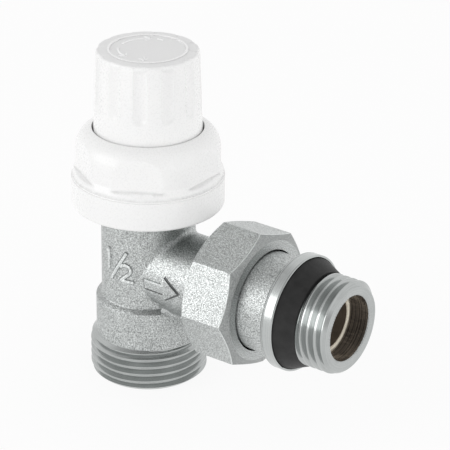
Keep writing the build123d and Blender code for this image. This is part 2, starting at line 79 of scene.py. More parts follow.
def grey(level: float) -> Colour:
    """Gives a neutral grey."""
    return (level, level, level, 1.0)


def nickel(level: float) -> Colour:
    """Gives the faintly green grey of nickel plate."""
    red, green, blue = NICKEL_TINT
    return (level * red, level * green, level * blue, 1.0)


class Axis(Enum):
    """The two axes that the valve's turned faces run round."""

    STEM = "stem"
    OUTLET = "outlet"

    def along_and_out(self, point: Vector) -> tuple[float, float]:
        """Measures a point along this axis and out from it.

        Args:
            point: A point of the frame, in metres.

        Returns:
            The distance along the axis and the distance from it.
        """
        if self is Axis.STEM:
            return point.z, math.hypot(point.x, point.y)
        return point.x, math.hypot(point.y, point.z - OUTLET_HEIGHT)

    def place(self, along: float) -> Matrix:
        """Gives the place on this axis of what was drawn round +Z from the origin.

        Args:
            along: How far along the axis its origin goes.

        Returns:
            The transform to that place.
        """
        if self is Axis.STEM:
            return Matrix.Translation((0.0, 0.0, along))
        return Matrix.Translation((along, 0.0, OUTLET_HEIGHT)) @ Matrix.Rotation(math.radians(90.0), 4, "Y")


class Ramp(Enum):
    """How a mapped span runs from its lower end to its upper one."""

    EVEN = "LINEAR"
    SOFT = "SMOOTHSTEP"


class NodeBoard:
    """Adds nodes to one tree and feeds their sockets."""

    def __init__(self, tree: bpy.types.NodeTree) -> None:
        """Keeps the tree that the nodes go in."""
        self.tree = tree

    def feed(self, socket: bpy.types.NodeSocket, value: Value) -> None:
        """Links an output to a socket, or sets the socket's own value.

        Args:
            socket: The input socket.
            value: An output socket to link, or a plain value.
        """
        if isinstance(value, bpy.types.NodeSocket):
            self.tree.links.new(value, socket)
        else:
            socket.default_value = value

    def add(self, kind: str, inputs: Inputs | None = None, **settings: object) -> bpy.types.Node:
        """Adds a node with its settings and inputs.

        Args:
            kind: The node's type name.
            inputs: Values or outputs by socket name or number.
            **settings: Properties of the node.

        Returns:
            The new node.
        """
        node = self.tree.nodes.new(kind)
        for name, value in settings.items():
            setattr(node, name, value)
        for key, value in (inputs or {}).items():
            self.feed(node.inputs[key], value)
        return node

    def math(self, operation: str, *values: Value) -> bpy.types.NodeSocket:
        """Adds a Math node and gives its output."""
        return self.add("ShaderNodeMath", dict(enumerate(values)), operation=operation).outputs[0]

    def noise(self, spot: Value, scale: Value, detail: float, roughness: float = 0.5) -> bpy.types.NodeSocket:
        """Adds a noise over a place and gives its value."""
        inputs = {"Vector": spot, "Scale": scale, "Detail": detail, "Roughness": roughness}
        return self.add("ShaderNodeTexNoise", inputs).outputs[0]

    def span(
        self,
        value: Value,
        low: Value,
        high: Value,
        to_low: Value = 0.0,
        to_high: Value = 1.0,
        ramp: Ramp = Ramp.EVEN,
    ) -> bpy.types.NodeSocket:
        """Maps a value's span to another one, clamped.

        Args:
            value: The value to map.
            low: The span's lower end.
            high: The span's upper end.
            to_low: What the lower end becomes.
            to_high: What the upper end becomes.
            ramp: How the new span runs.

        Returns:
            The mapped value's socket.
        """
        inputs = {"Value": value, "From Min": low, "From Max": high, "To Min": to_low, "To Max": to_high}
        return self.add("ShaderNodeMapRange", inputs, interpolation_type=ramp.value).outputs[0]

    def blend(self, share: Value, first: Value, second: Value) -> bpy.types.NodeSocket:
        """Mixes two colours by a share and gives the colour's socket."""
        node = self.add("ShaderNodeMix", {0: share, 6: first, 7: second}, data_type="RGBA")
        return node.outputs[2]


class Effect(Enum):
    """Surface effects that several finishes share, each one shader node group."""

    SAND_GRAIN = "sand grain"
    TURNING_MARKS = "turning marks"
    TONE_DRIFT = "tone drift"
    MOULD_SKIN = "mould skin"

    def tree(self) -> bpy.types.NodeTree:
        """Gives this effect's group, made at its first use.

        Returns:
            The shader node group.
        """
        known = bpy.data.node_groups.get(self.value)
        if known:
            return known
        tree = bpy.data.node_groups.new(self.value, "ShaderNodeTree")
        makers = {
            Effect.SAND_GRAIN: self._sand_grain,
            Effect.TURNING_MARKS: self._turning_marks,
            Effect.TONE_DRIFT: self._tone_drift,
            Effect.MOULD_SKIN: self._mould_skin,
        }
        makers[self](NodeBoard(tree))
        return tree

    @staticmethod
    def _ends(
        board: NodeBoard, inputs: dict[str, str], outputs: Sequence[str]
    ) -> tuple[bpy.types.NodeOutputs, bpy.types.NodeInputs]:
        """Makes a group's sockets and its two end nodes.

        Args:
            board: The group's board.
            inputs: Socket kinds by name.
            outputs: Names of the value outputs.

        Returns:
            What the group is given, and what it puts out.
        """
        for name, kind in inputs.items():
            board.tree.interface.new_socket(name, in_out="INPUT", socket_type=kind)
        for name in outputs:
            board.tree.interface.new_socket(name, in_out="OUTPUT", socket_type="NodeSocketFloat")
        return board.add("NodeGroupInput").outputs, board.add("NodeGroupOutput").inputs

    @classmethod
    def _sand_grain(cls, board: NodeBoard) -> None:
        """Draws the fine pits of a blasted casting, with darker flecks among them.

        Args:
            board: The group's board.
        """
        kinds = {"Vector": "NodeSocketVector", "Grains": "NodeSocketFloat"}
        given, result = cls._ends(board, kinds, ("Height", "Fleck"))
        spot, grains = given["Vector"], given["Grains"]
        cell_scale, cell_depth = 0.62, -0.45
        fleck_scale, fleck_span = 0.9, (0.32, 0.68)
        pits = board.noise(spot, grains, detail=1.5, roughness=0.6)
        cell_grains = board.math("MULTIPLY", grains, cell_scale)
        cells = board.add("ShaderNodeTexVoronoi", {"Vector": spot, "Scale": cell_grains}).outputs["Distance"]
        flecks = board.noise(spot, board.math("MULTIPLY", grains, fleck_scale), detail=0.0)
        board.feed(result["Height"], board.math("MULTIPLY_ADD", cells, cell_depth, pits))
        board.feed(result["Fleck"], board.span(flecks, *fleck_span))

    @classmethod
    def _turning_marks(cls, board: NodeBoard) -> None:
        """Draws the fine rings that a lathe tool leaves, along the axis and across end faces.

        Args:
            board: The group's board.
        """
        kinds = {name: "NodeSocketFloat" for name in ("Along", "Out", "Lines")}
        given, result = cls._ends(board, kinds, ("Height", "Streak"))
        streak_span = (0.8, 1.2)
        rings = []
        for name in ("Along", "Out"):
            place = board.math("MULTIPLY", given[name], given["Lines"])
            inputs = {"W": place, "Scale": 1.0, "Detail": 2.0}
            rings.append(board.add("ShaderNodeTexNoise", inputs, noise_dimensions="1D").outputs[0])
        height = board.math("ADD", *rings)
        board.feed(result["Height"], height)
        board.feed(result["Streak"], board.span(height, *streak_span))

    @classmethod
    def _tone_drift(cls, board: NodeBoard) -> None:
        """Draws the slow drift of tone that plating, skin and handling leave on a surface.

        Args:
            board: The group's board.
        """
        kinds = {"Vector": "NodeSocketVector", "Patches": "NodeSocketFloat"}
        given, result = cls._ends(board, kinds, ("Tone",))
        tone = board.noise(given["Vector"], given["Patches"], detail=3.0)
        board.feed(result["Tone"], board.span(tone, *NOISE_SPAN))

    @classmethod
    def _mould_skin(cls, board: NodeBoard) -> None:
        """Draws the slight waviness and fine skin of a moulded surface.

        Args:
            board: The group's board.
        """
        kinds = {"Vector": "NodeSocketVector", "Waves": "NodeSocketFloat"}
        given, result = cls._ends(board, kinds, ("Height", "Skin"))
        spot, waves = given["Vector"], given["Waves"]
        skin_scale, skin_depth = 18.0, 0.06
        wavy = board.noise(spot, waves, detail=0.0)
        skin = board.noise(spot, board.math("MULTIPLY", waves, skin_scale), detail=2.0)
        board.feed(result["Height"], board.math("MULTIPLY_ADD", skin, skin_depth, wavy))
        board.feed(result["Skin"], board.span(skin, *NOISE_SPAN))


class MaterialDraft:
    """A new material with its Principled shader and the piece's own coordinates."""

    def __init__(self, name: str) -> None:
        """Starts the material's tree.

        Args:
            name: The material's name.
        """
        self.material = bpy.data.materials.new(name)
        self.material.use_nodes = True
        tree = self.material.node_tree
        tree.nodes.clear()
        self.board = NodeBoard(tree)
        self.shader = self.board.add("ShaderNodeBsdfPrincipled")
        self.board.add("ShaderNodeOutputMaterial", {"Surface": self.shader.outputs[0]})
        self.spot = self.board.add("ShaderNodeTexCoord").outputs["Object"]

    def effect(self, effect: Effect, **inputs: Value) -> bpy.types.NodeOutputs:
        """Places an effect's group, with its inputs by name, and gives its outputs."""
        return self.board.add("ShaderNodeGroup", dict(inputs), node_tree=effect.tree()).outputs

    def set(self, **inputs: Value) -> None:
        """Sets the shader's sockets, with underscores for the spaces in their names."""
        for name, value in inputs.items():
            self.board.feed(self.shader.inputs[name.replace("_", " ")], value)

    def bump(self, height: Value, depth: float, under: Value | None = None) -> bpy.types.NodeSocket:
        """Turns a height into a bent normal.

        Args:
            height: The height, from 0 to about 1.
            depth: How deep a height of 1 is, in metres.
            under: A normal that this one is laid over.

        Returns:
            The normal's socket.
        """
        inputs: Inputs = {"Height": height, "Distance": depth, "Strength": 1.0}
        if under is not None:
            inputs["Normal"] = under
        return self.board.add("ShaderNodeBump", inputs).outputs[0]

    def lathe_place(self, axis: Axis) -> tuple[bpy.types.NodeSocket, bpy.types.NodeSocket]:
        """Measures the surface along a turning axis and out from it.

        Args:
            axis: The axis that the piece was turned on.

        Returns:
            The sockets of the two distances.
        """
        if axis is Axis.STEM:
            spot, keep, along = self.spot, (1.0, 1.0, 0.0), "Z"
        else:
            centre = {"Vector": self.spot, "Location": (0.0, 0.0, -OUTLET_HEIGHT)}
            spot, keep, along = self.board.add("ShaderNodeMapping", centre).outputs[0], (0.0, 1.0, 1.0), "X"
        split = self.board.add("ShaderNodeSeparateXYZ", {0: spot})
        flat = self.board.add("ShaderNodeVectorMath", {0: spot, 1: keep}, operation="MULTIPLY")
        out = self.board.add("ShaderNodeVectorMath", {0: flat.outputs[0]}, operation="LENGTH")
        return split.outputs[along], out.outputs["Value"]


@dataclass(frozen=True)
class BlastedNickel:
    """Sand-blasted forging under satin nickel plate."""

    tone: float = 0.53
    contrast: float = 0.44
    grains: float = 5200.0
    grain_depth: float = 0.07 * MM
    roughness: tuple[float, float] = (0.32, 0.48)
    patches: float = 140.0
    patch_shade: float = 0.95

    def make(self, name: str) -> bpy.types.Material:
        """Makes the material.

        Args:
            name: The material's name.

        Returns:
            The new material.
        """
        draft = MaterialDraft(name)
        grain = draft.effect(Effect.SAND_GRAIN, Vector=draft.spot, Grains=self.grains)
        drift = draft.effect(Effect.TONE_DRIFT, Vector=draft.spot, Patches=self.patches)["Tone"]
        bright = self.tone * (1 + self.contrast)
        plain = draft.board.blend(drift, nickel(bright * self.patch_shade), nickel(bright))
        draft.set(
            Base_Color=draft.board.blend(grain["Fleck"], plain, nickel(self.tone * (1 - self.contrast))),
            Roughness=draft.board.span(grain["Fleck"], 0.0, 1.0, *self.roughness),
            Metallic=1.0,
            Normal=draft.bump(grain["Height"], self.grain_depth),
        )
        return draft.material


@dataclass(frozen=True)
class TurnedMetal:
    """Bright lathe-turned metal with fine tool rings."""

    axis: Axis
    colour: Colour = nickel(0.53)
    dull_colour: Colour = nickel(0.41)
    metallic: float = 1.0
    lines: float = 6500.0
    line_depth: float = 0.006 * MM
    roughness: tuple[float, float] = (0.13, 0.26)
    thread_pitch: float = 0.0
    thread_depth: float = 0.5 * MM
    patches: float = 190.0
    streak_share: float = 0.55
    patch_share: float = 0.45

    def make(self, name: str) -> bpy.types.Material:
        """Makes the material.

        Args:
            name: The material's name.

        Returns:
            The new material.
        """
        draft = MaterialDraft(name)
        along, out = draft.lathe_place(self.axis)
        rings = draft.effect(Effect.TURNING_MARKS, Along=along, Out=out, Lines=self.lines)
        drift = draft.effect(Effect.TONE_DRIFT, Vector=draft.spot, Patches=self.patches)["Tone"]
        patches = draft.board.math("MULTIPLY", drift, self.patch_share)
        dullness = draft.board.math("MULTIPLY_ADD", rings["Streak"], self.streak_share, patches)
        normal = draft.bump(rings["Height"], self.line_depth)
        if self.thread_pitch:
            turn = draft.board.math("MULTIPLY", along, math.tau / self.thread_pitch)
            wave = draft.board.math("MULTIPLY_ADD", draft.board.math("SINE", turn), 0.5, 0.5)
            normal = draft.bump(wave, self.thread_depth, normal)
        draft.set(
            Base_Color=draft.board.blend(dullness, self.colour, self.dull_colour),
            Roughness=draft.board.span(dullness, 0.0, 1.0, *self.roughness),
            Metallic=self.metallic,
            Normal=normal,
        )
        return draft.material


@dataclass(frozen=True)
class MouldedPlastic:
    """Glossy moulded plastic."""

    colour: Colour = (0.90, 0.90, 0.895, 1.0)
    shade: Colour = (0.87, 0.87, 0.868, 1.0)
    roughness: tuple[float, float] = (0.24, 0.34)
    waves: float = 170.0
    wave_depth: float = 0.012 * MM
    coat: float = 0.15
    coat_roughness: float = 0.12
    patches: float = 75.0

    def make(self, name: str) -> bpy.types.Material:
        """Makes the material.

        Args:
            name: The material's name.

        Returns:
            The new material.
        """
        draft = MaterialDraft(name)
        skin = draft.effect(Effect.MOULD_SKIN, Vector=draft.spot, Waves=self.waves)
        drift = draft.effect(Effect.TONE_DRIFT, Vector=draft.spot, Patches=self.patches)["Tone"]
        draft.set(
            Base_Color=draft.board.blend(drift, self.colour, self.shade),
            Roughness=draft.board.span(skin["Skin"], 0.0, 1.0, *self.roughness),
            Normal=draft.bump(skin["Height"], self.wave_depth),
            Coat_Weight=self.coat,
            Coat_Roughness=self.coat_roughness,
        )
        return draft.material


@dataclass(frozen=True)
class MouldedRubber:
    """Matte black rubber with a dusty skin."""

    colour: Colour = grey(0.014)
    dusty: Colour = grey(0.024)
    roughness: tuple[float, float] = (0.48, 0.66)
    waves: float = 260.0
    wave_depth: float = 0.02 * MM
    shine: float = 0.3
    patches: float = 420.0

    def make(self, name: str) -> bpy.types.Material:
        """Makes the material.

        Args:
            name: The material's name.

        Returns:
            The new material.
        """
        draft = MaterialDraft(name)
        skin = draft.effect(Effect.MOULD_SKIN, Vector=draft.spot, Waves=self.waves)
        drift = draft.effect(Effect.TONE_DRIFT, Vector=draft.spot, Patches=self.patches)["Tone"]
        draft.set(
            Base_Color=draft.board.blend(drift, self.colour, self.dusty),
            Roughness=draft.board.span(skin["Skin"], 0.0, 1.0, *self.roughness),
            Normal=draft.bump(skin["Height"], self.wave_depth),
            Specular_IOR_Level=self.shine,
        )
        return draft.material


Finish = Union[BlastedNickel, TurnedMetal, MouldedPlastic, MouldedRubber]

BRASS = (0.72, 0.56, 0.30, 1.0)
DULL_BRASS = (0.58, 0.43, 0.22, 1.0)
# The bore brasses are far darker than brass: painted shade inside the bores. The dull colours give the turning
# streaks.
BORE_BRASS = (0.33, 0.285, 0.24, 1.0)
DULL_BORE_BRASS = (0.018, 0.015, 0.012, 1.0)
DEEP_BRASS = (0.38, 0.31, 0.245, 1.0)
DULL_DEEP_BRASS = (0.20, 0.16, 0.12, 1.0)
# The step's cream brass is paler than brass and set less metallic, so the shadowed step reads lit: painted
# highlight.
CREAM_BRASS = (0.86, 0.80, 0.68, 1.0)
DULL_CREAM_BRASS = (0.70, 0.63, 0.50, 1.0)
STEEL = grey(0.58)
DULL_STEEL = grey(0.48)
PACKING_WHITE = (0.82, 0.81, 0.77, 1.0)


def evaluated(mesh: bpy.types.Mesh, prepare: Callable[[bpy.types.Object], None]) -> bpy.types.Mesh:
    """Runs modifiers on a mesh and gives the plain result.

    Args:
        mesh: The mesh to start from.
        prepare: Adds the modifiers to a passing object.

    Returns:
        The resulting mesh.
    """
    passing = bpy.data.objects.new("passing", mesh)
    bpy.context.scene.collection.objects.link(passing)
    prepare(passing)
    depsgraph = bpy.context.evaluated_depsgraph_get()
    result = bpy.data.meshes.new_from_object(passing.evaluated_get(depsgraph))
    bpy.data.objects.remove(passing)
    return result


def merged_copy(node: str) -> bpy.types.Mesh:
    """Copies a CAD node's loose triangles into one closed mesh.

    Args:
        node: The CAD node's name.

    Returns:
        The merged mesh.
    """
    mesh = bpy.data.meshes.new(f"{node}_merged")
    shape = bmesh.new()
    shape.from_mesh(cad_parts[node].data)
    bmesh.ops.remove_doubles(shape, verts=shape.verts, dist=MERGE_DISTANCE)
    bmesh.ops.dissolve_degenerate(shape, dist=SLIVER, edges=shape.edges)
    shape.to_mesh(mesh)
    shape.free()
    return mesh


def broken_edges(node: str, width: float, flat_below: float = 0.4, sharp_above: float = 24.0) -> bpy.types.Mesh:
    """Copies a CAD node with its sharp edges broken.

    Args:
        node: The CAD node's name.
        width: The broken edges' width.
        flat_below: The angle below which triangles become one face, in degrees.
        sharp_above: The angle above which an edge is broken, in degrees.

    Returns:
        The new mesh.
    """
    mesh = merged_copy(node)
    flat = bmesh.new()
    flat.from_mesh(mesh)
    bmesh.ops.dissolve_limit(flat, angle_limit=math.radians(flat_below), verts=flat.verts, edges=flat.edges)
    flat.to_mesh(mesh)
    flat.free()

    def prepare(passing: bpy.types.Object) -> None:
        """Bevels the sharp edges.

        Args:
            passing: The object that carries the mesh.
        """
        bevel = passing.modifiers.new("edges", "BEVEL")
        bevel.width = width
        bevel.segments = 2
        bevel.limit_method = "ANGLE"
        bevel.angle_limit = math.radians(sharp_above)

    return evaluated(mesh, prepare)


def smooth(mesh: bpy.types.Mesh, sharp_above: float = 28.0) -> bpy.types.Mesh:
    """Shades a mesh smooth by its larger faces, apart from its sharp edges.

    Args:
        mesh: The mesh to shade.
        sharp_above: The angle above which an edge stays sharp, in degrees.

    Returns:
        The shaded mesh.
    """
    mesh.shade_smooth()
    mesh.set_sharp_from_angle(angle=math.radians(sharp_above))

    def prepare(passing: bpy.types.Object) -> None:
        """Weighs the normals by the faces' areas."""
        weigh = passing.modifiers.new("normals", "WEIGHTED_NORMAL")
        weigh.keep_sharp = True

    return evaluated(mesh, prepare)


class Joining(Enum):
    """How one closed mesh is joined with another."""

    CUT = "DIFFERENCE"
    ADD = "UNION"


def carve(mesh: bpy.types.Mesh, tool_mesh: bpy.types.Mesh, joining: Joining = Joining.CUT) -> bpy.types.Mesh:
    """Takes one closed mesh out of another, or adds it.

    Args:
        mesh: The mesh to work on.
        tool_mesh: The mesh to take out of it, or to add.
        joining: Which of the two.

    Returns:
        The joined mesh.
    """
    tool = bpy.data.objects.new("tool", tool_mesh)
    bpy.context.scene.collection.objects.link(tool)

    def prepare(passing: bpy.types.Object) -> None:
        """Joins the tool with the passing object.

        Args:
            passing: The object that carries the mesh.
        """
        modifier = passing.modifiers.new("joining", "BOOLEAN")
        modifier.operation = joining.value
        modifier.solver = "EXACT"
        modifier.object = tool

    result = evaluated(mesh, prepare)
    bpy.data.objects.remove(tool)
    return result


def paint(mesh: bpy.types.Mesh, finishes: dict[Enum, bpy.types.Material], zone: ZonePick) -> None:
    """Gives each face the finish of its zone.

    Args:
        mesh: The mesh to paint.
        finishes: The materials by zone.
        zone: Tells a face's zone from its centre and normal.
    """
    mesh.materials.clear()
    for material in finishes.values():
        mesh.materials.append(material)
    numbers = {part: number for number, part in enumerate(finishes)}
    for face in mesh.polygons:
        face.material_index = numbers[zone(face.center, face.normal)]


def coat(mesh: bpy.types.Mesh, material: bpy.types.Material) -> None:
    """Gives all faces one finish.

    Args:
        mesh: The mesh to coat.
        material: The finish.
    """
    mesh.materials.clear()
    mesh.materials.append(material)
    for face in mesh.polygons:
        face.material_index = 0


def settle(
    name: str, mesh: bpy.types.Mesh, body: str, replaced: Sequence[str] = ()
) -> bpy.types.Object:
    """Makes a finished piece of a mesh and ties it to its body.

    Args:
        name: The piece's name.
        mesh: The finished mesh, already in place.
        body: The CAD body that the piece moves with.
        replaced: CAD nodes that the piece stands for.

    Returns:
        The piece's object.
    """
    mesh.name = name
    piece = bpy.data.objects.new(name, mesh)
    bpy.context.scene.collection.objects.link(piece)
    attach(piece, body)
    if replaced:
        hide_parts(*replaced)
    LOG.info("%s rides on %s, %d faces", name, body, len(mesh.polygons))
    return piece


def dress(node: str, material: bpy.types.Material) -> None:
    """Gives a carried-over CAD node its finish.

    Args:
        node: The CAD node's name.
        material: The finish.
    """
    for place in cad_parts[node].material_slots:
        place.material = material
    LOG.info("%s keeps its solid, finish %s", node, material.name)


class GeometryTree:
    """A Geometry Nodes tree with named inputs, run on a mesh for its plain result."""

    def __init__(self, name: str, inputs: dict[str, str]) -> None:
        """Starts the tree.

        Args:
            name: The tree's name.
            inputs: Socket kinds by name; Geometry comes first and Material last by themselves.
        """
        self.tree = bpy.data.node_groups.new(name, "GeometryNodeTree")
        self.board = NodeBoard(self.tree)
        kinds = {"Geometry": "NodeSocketGeometry", **inputs, "Material": "NodeSocketMaterial"}
        for key, kind in kinds.items():
            self.tree.interface.new_socket(key, in_out="INPUT", socket_type=kind)
        self.tree.interface.new_socket("Geometry", in_out="OUTPUT", socket_type="NodeSocketGeometry")
        self.start = self.board.add("NodeGroupInput").outputs

    def close(self, geometry: bpy.types.NodeSocket) -> None:
        """Ends the tree in plain geometry with its material.

        Args:
            geometry: What the tree has made.
        """
        plain = self.board.add("GeometryNodeRealizeInstances", {0: geometry}).outputs[0]
        coated = {"Geometry": plain, "Material": self.start["Material"]}
        finished = self.board.add("GeometryNodeSetMaterial", coated).outputs[0]
        self.board.add("NodeGroupOutput", {0: finished})

    def run(self, mesh: bpy.types.Mesh, values: dict[str, object]) -> bpy.types.Mesh:
        """Runs the tree on a mesh.

        Args:
            mesh: The mesh to start from.
            values: The inputs' values by name.

        Returns:
            The resulting plain mesh.
        """
        items = self.tree.interface.items_tree
        sockets = {item.name: item.identifier for item in items if item.in_out == "INPUT"}

        def prepare(passing: bpy.types.Object) -> None:
            """Adds the tree with its inputs set.

            Args:
                passing: The object that carries the mesh.
            """
            modifier = passing.modifiers.new("tree", "NODES")
            modifier.node_group = self.tree
            for key, value in values.items():
                modifier[sockets[key]] = value

        return evaluated(mesh, prepare)


class ScrewGroove(GeometryTree):
    """Sweeps a thread's groove along a right-hand helix round +Z, running out of the metal at both ends."""

    FLANK = math.tan(math.radians(27.5))
    PROUD = 0.3 * MM
    ROOT_RADIUS = 0.12 * MM
    CLEARANCE = 1.06

    def __init__(self) -> None:
        """Builds the tree."""
        names = ("Radius", "Pitch", "Depth", "Crest", "Turns", "Run-out")
        kinds = {name: "NodeSocketFloat" for name in names}
        super().__init__("screw groove", {**kinds, "Steps": "NodeSocketInt"})
        board, start = self.board, self.start
        rise = board.math("MULTIPLY", start["Pitch"], start["Turns"])
        helix = board.add(
            "GeometryNodeCurveSpiral",
            {
                "Resolution": start["Steps"],
                "Rotations": start["Turns"],
                "Start Radius": start["Radius"],
                "End Radius": start["Radius"],
                "Height": rise,
                "Reverse": True,
            },
        )
        place = board.add("GeometryNodeInputPosition").outputs[0]
        flat = board.add("ShaderNodeVectorMath", {0: place, 1: (1.0, 1.0, 0.0)}, operation="MULTIPLY")
        outward = board.add("ShaderNodeVectorMath", {0: flat.outputs[0]}, operation="NORMALIZE").outputs[0]
        share = board.add("GeometryNodeSplineParameter").outputs["Factor"]
        from_end = board.math("MINIMUM", share, board.math("SUBTRACT", 1.0, share))
        clear = board.math("MULTIPLY", start["Depth"], self.CLEARANCE)
        lift = board.span(from_end, 0.0, start["Run-out"], clear, 0.0)
        away = board.add("ShaderNodeVectorMath", {0: outward, "Scale": lift}, operation="SCALE").outputs[0]
        faded = board.add("GeometryNodeSetPosition", {"Geometry": helix.outputs[0], "Offset": away})
        level = board.add("GeometryNodeSetCurveNormal", {"Curve": faded.outputs[0]}, mode="Z_UP").outputs[0]
        swept = {"Curve": level, "Profile Curve": self._section(), "Fill Caps": True}
        self.close(board.add("GeometryNodeCurveToMesh", swept).outputs[0])

    def _section(self) -> bpy.types.NodeSocket:
        """Draws the groove's section, with a rounded root.

        Returns:
            The closed curve's socket, X pointing outwards.
        """
        board, start = self.board, self.start
        mouth = board.math("MULTIPLY", board.math("SUBTRACT", start["Pitch"], start["Crest"]), 0.5)
        root = board.math("MULTIPLY_ADD", start["Depth"], -self.FLANK, mouth)
        outer = board.math("ADD", mouth, self.PROUD * self.FLANK)
        inward = board.math("MULTIPLY", start["Depth"], -1.0)
        corners = []
        for out, half in ((self.PROUD, outer), (inward, root)):
            for sign in (-1.0, 1.0):
                across = board.math("MULTIPLY", half, sign)
                corners.append(board.add("ShaderNodeCombineXYZ", {"X": out, "Y": across}).outputs[0])
        order = (corners[0], corners[1], corners[3], corners[2])
        points = {f"Point {number + 1}": corner for number, corner in enumerate(order)}
        section = board.add("GeometryNodeCurvePrimitiveQuadrilateral", points, mode="POINTS").outputs[0]
        rounding = {"Curve": section, "Count": 2, "Radius": self.ROOT_RADIUS, "Limit Radius": True}
        return board.add("GeometryNodeFilletCurve", rounding, mode="POLY").outputs[0]


class RaisedStroke(GeometryTree):
    """Sweeps raised strokes along flat lines, then wraps them round +Z or leaves them flat."""

    EDGE_ROUNDING = 0.2

    def __init__(self) -> None:
        """Builds the tree."""
        kinds = {name: "NodeSocketFloat" for name in ("Width", "Height", "Step", "Radius")}
        super().__init__("raised stroke", {**kinds, "Wrapped": "NodeSocketBool"})
        board, start = self.board, self.start
        lines = board.add("GeometryNodeMeshToCurve", {"Mesh": start["Geometry"]}).outputs[0]
        even = board.add("GeometryNodeResampleCurve", {"Curve": lines, "Length": start["Step"]}, mode="LENGTH")
        level = board.add("GeometryNodeSetCurveNormal", {"Curve": even.outputs[0]}, mode="Z_UP").outputs[0]
        swept = {"Curve": level, "Profile Curve": self._section(), "Fill Caps": True}
        sweep = board.add("GeometryNodeCurveToMesh", swept).outputs[0]
        place = board.add("GeometryNodeInputPosition").outputs[0]
        split = board.add("ShaderNodeSeparateXYZ", {0: place}).outputs
        angle = board.math("DIVIDE", split["X"], start["Radius"])
        out = board.math("ADD", start["Radius"], split["Z"])
        across = board.math("MULTIPLY", out, board.math("SINE", angle))
        front = board.math("MULTIPLY", out, board.math("MULTIPLY", board.math("COSINE", angle), -1.0))
        wrapped = board.add("ShaderNodeCombineXYZ", {"X": across, "Y": front, "Z": split["Y"]}).outputs[0]
        choices = {"Switch": start["Wrapped"], "False": place, "True": wrapped}
        choice = board.add("GeometryNodeSwitch", choices, input_type="VECTOR").outputs[0]
        self.close(board.add("GeometryNodeSetPosition", {"Geometry": sweep, "Position": choice}).outputs[0])

    def _section(self) -> bpy.types.NodeSocket:
        """Draws the stroke's section, a flat-topped hexagon with rounded corners.

        Returns:
            The closed curve's socket.
        """
        board, start = self.board, self.start
        hexagon = board.add("GeometryNodeCurvePrimitiveCircle", {"Resolution": 6, "Radius": 1.0}).outputs[0]
        half = board.math("MULTIPLY", start["Width"], 0.5)
        tall = board.math("DIVIDE", start["Height"], math.sin(math.radians(60.0)))
        size = board.add("ShaderNodeCombineXYZ", {"X": half, "Y": tall, "Z": 1.0}).outputs[0]
        section = board.add("GeometryNodeTransform", {"Geometry": hexagon, "Scale": size}).outputs[0]
        corner = board.math("MULTIPLY", half, self.EDGE_ROUNDING)
        rounding = {"Curve": section, "Count": 2, "Radius": corner, "Limit Radius": True}
        return board.add("GeometryNodeFilletCurve", rounding, mode="POLY").outputs[0]

    def draw(self, lines: Sequence[FlatLine], values: dict[str, object]) -> bpy.types.Mesh:
        """Sweeps the strokes of some flat lines.

        Args:
            lines: Each line's points, in metres.
            values: The tree's inputs by name.

        Returns:
            The strokes' mesh.
        """
        paths = bpy.data.meshes.new("paths")
        points = [(u, v, 0.0) for line in lines for u, v in line]
        edges, first = [], 0
        for line in lines:
            edges += [(first + i, first + i + 1) for i in range(len(line) - 1)]
            first += len(line)
        paths.from_pydata(points, edges, [])
        return self.run(paths, values)


class TurnedCut(GeometryTree):
    """Sweeps a flat section round +Z, as a whole ring or as an arc that tapers away at both ends."""

    RING_STEPS = 240
    END_SIZE = 0.02

    def __init__(self) -> None:
        """Builds the tree."""
        kinds = {name: "NodeSocketFloat" for name in ("Radius", "Start", "Sweep", "Taper")}
        super().__init__("turned cut", {**kinds, "Whole": "NodeSocketBool", "Steps": "NodeSocketInt"})
        board, start = self.board, self.start
        path = {"Resolution": start["Steps"], "Radius": start["Radius"]}
        path |= {"Start Angle": start["Start"], "Sweep Angle": start["Sweep"]}
        arc = board.add("GeometryNodeCurveArc", path).outputs[0]
        ring = board.add("GeometryNodeSetSplineCyclic", {"Geometry": arc, "Cyclic": start["Whole"]}).outputs[0]
        level = board.add("GeometryNodeSetCurveNormal", {"Curve": ring}, mode="Z_UP").outputs[0]
        share = board.add("GeometryNodeSplineParameter").outputs["Factor"]
        from_end = board.math("MINIMUM", share, board.math("SUBTRACT", 1.0, share))
        size = board.span(from_end, 0.0, start["Taper"], self.END_SIZE, 1.0, Ramp.SOFT)
        section = board.add("GeometryNodeMeshToCurve", {"Mesh": start["Geometry"]}).outputs[0]
        swept = {"Curve": level, "Profile Curve": section, "Fill Caps": True}
        swept["Scale"] = board.math("MAXIMUM", size, start["Whole"])
        self.close(board.add("GeometryNodeCurveToMesh", swept).outputs[0])

    def line(self, radius: float, depth: float, corners: int = 10) -> bpy.types.Mesh:
        """Sweeps a whole ring of even-sided section.

        Args:
            radius: The ring's radius.
            depth: The section's radius.
            corners: The section's corners: 4 cuts a bevel, more cut a round groove.

        Returns:
            The ring's mesh.
        """
        turns = [math.tau * i / corners for i in range(corners)]
        return self.ring(radius, [(depth * math.cos(turn), -depth * math.sin(turn)) for turn in turns])

    def ring(self, radius: float, section: FlatLine) -> bpy.types.Mesh:
        """Sweeps a closed section round a whole ring.

        Args:
            radius: The ring's radius.
            section: The section's points, out from the path and up, clockwise.

        Returns:
            The ring's mesh.
        """
        values = {
            "Radius": radius,
            "Start": 0.0,
            "Sweep": math.tau * (self.RING_STEPS - 1) / self.RING_STEPS,
            "Taper": 0.1,
            "Whole": True,
            "Steps": self.RING_STEPS,
        }
        return self.shape(section, values)

    def shape(self, section: FlatLine, values: dict[str, object]) -> bpy.types.Mesh:
        """Sweeps a closed section.

        Args:
            section: Its points, out from the path and up, clockwise.
            values: The tree's inputs by name.

        Returns:
            The swept mesh.
        """
        flat = bpy.data.meshes.new("section")
        count = len(section)
        edges = [(i, (i + 1) % count) for i in range(count)]
        flat.from_pydata([(out, -up, 0.0) for out, up in section], edges, [])
        return self.run(flat, values)


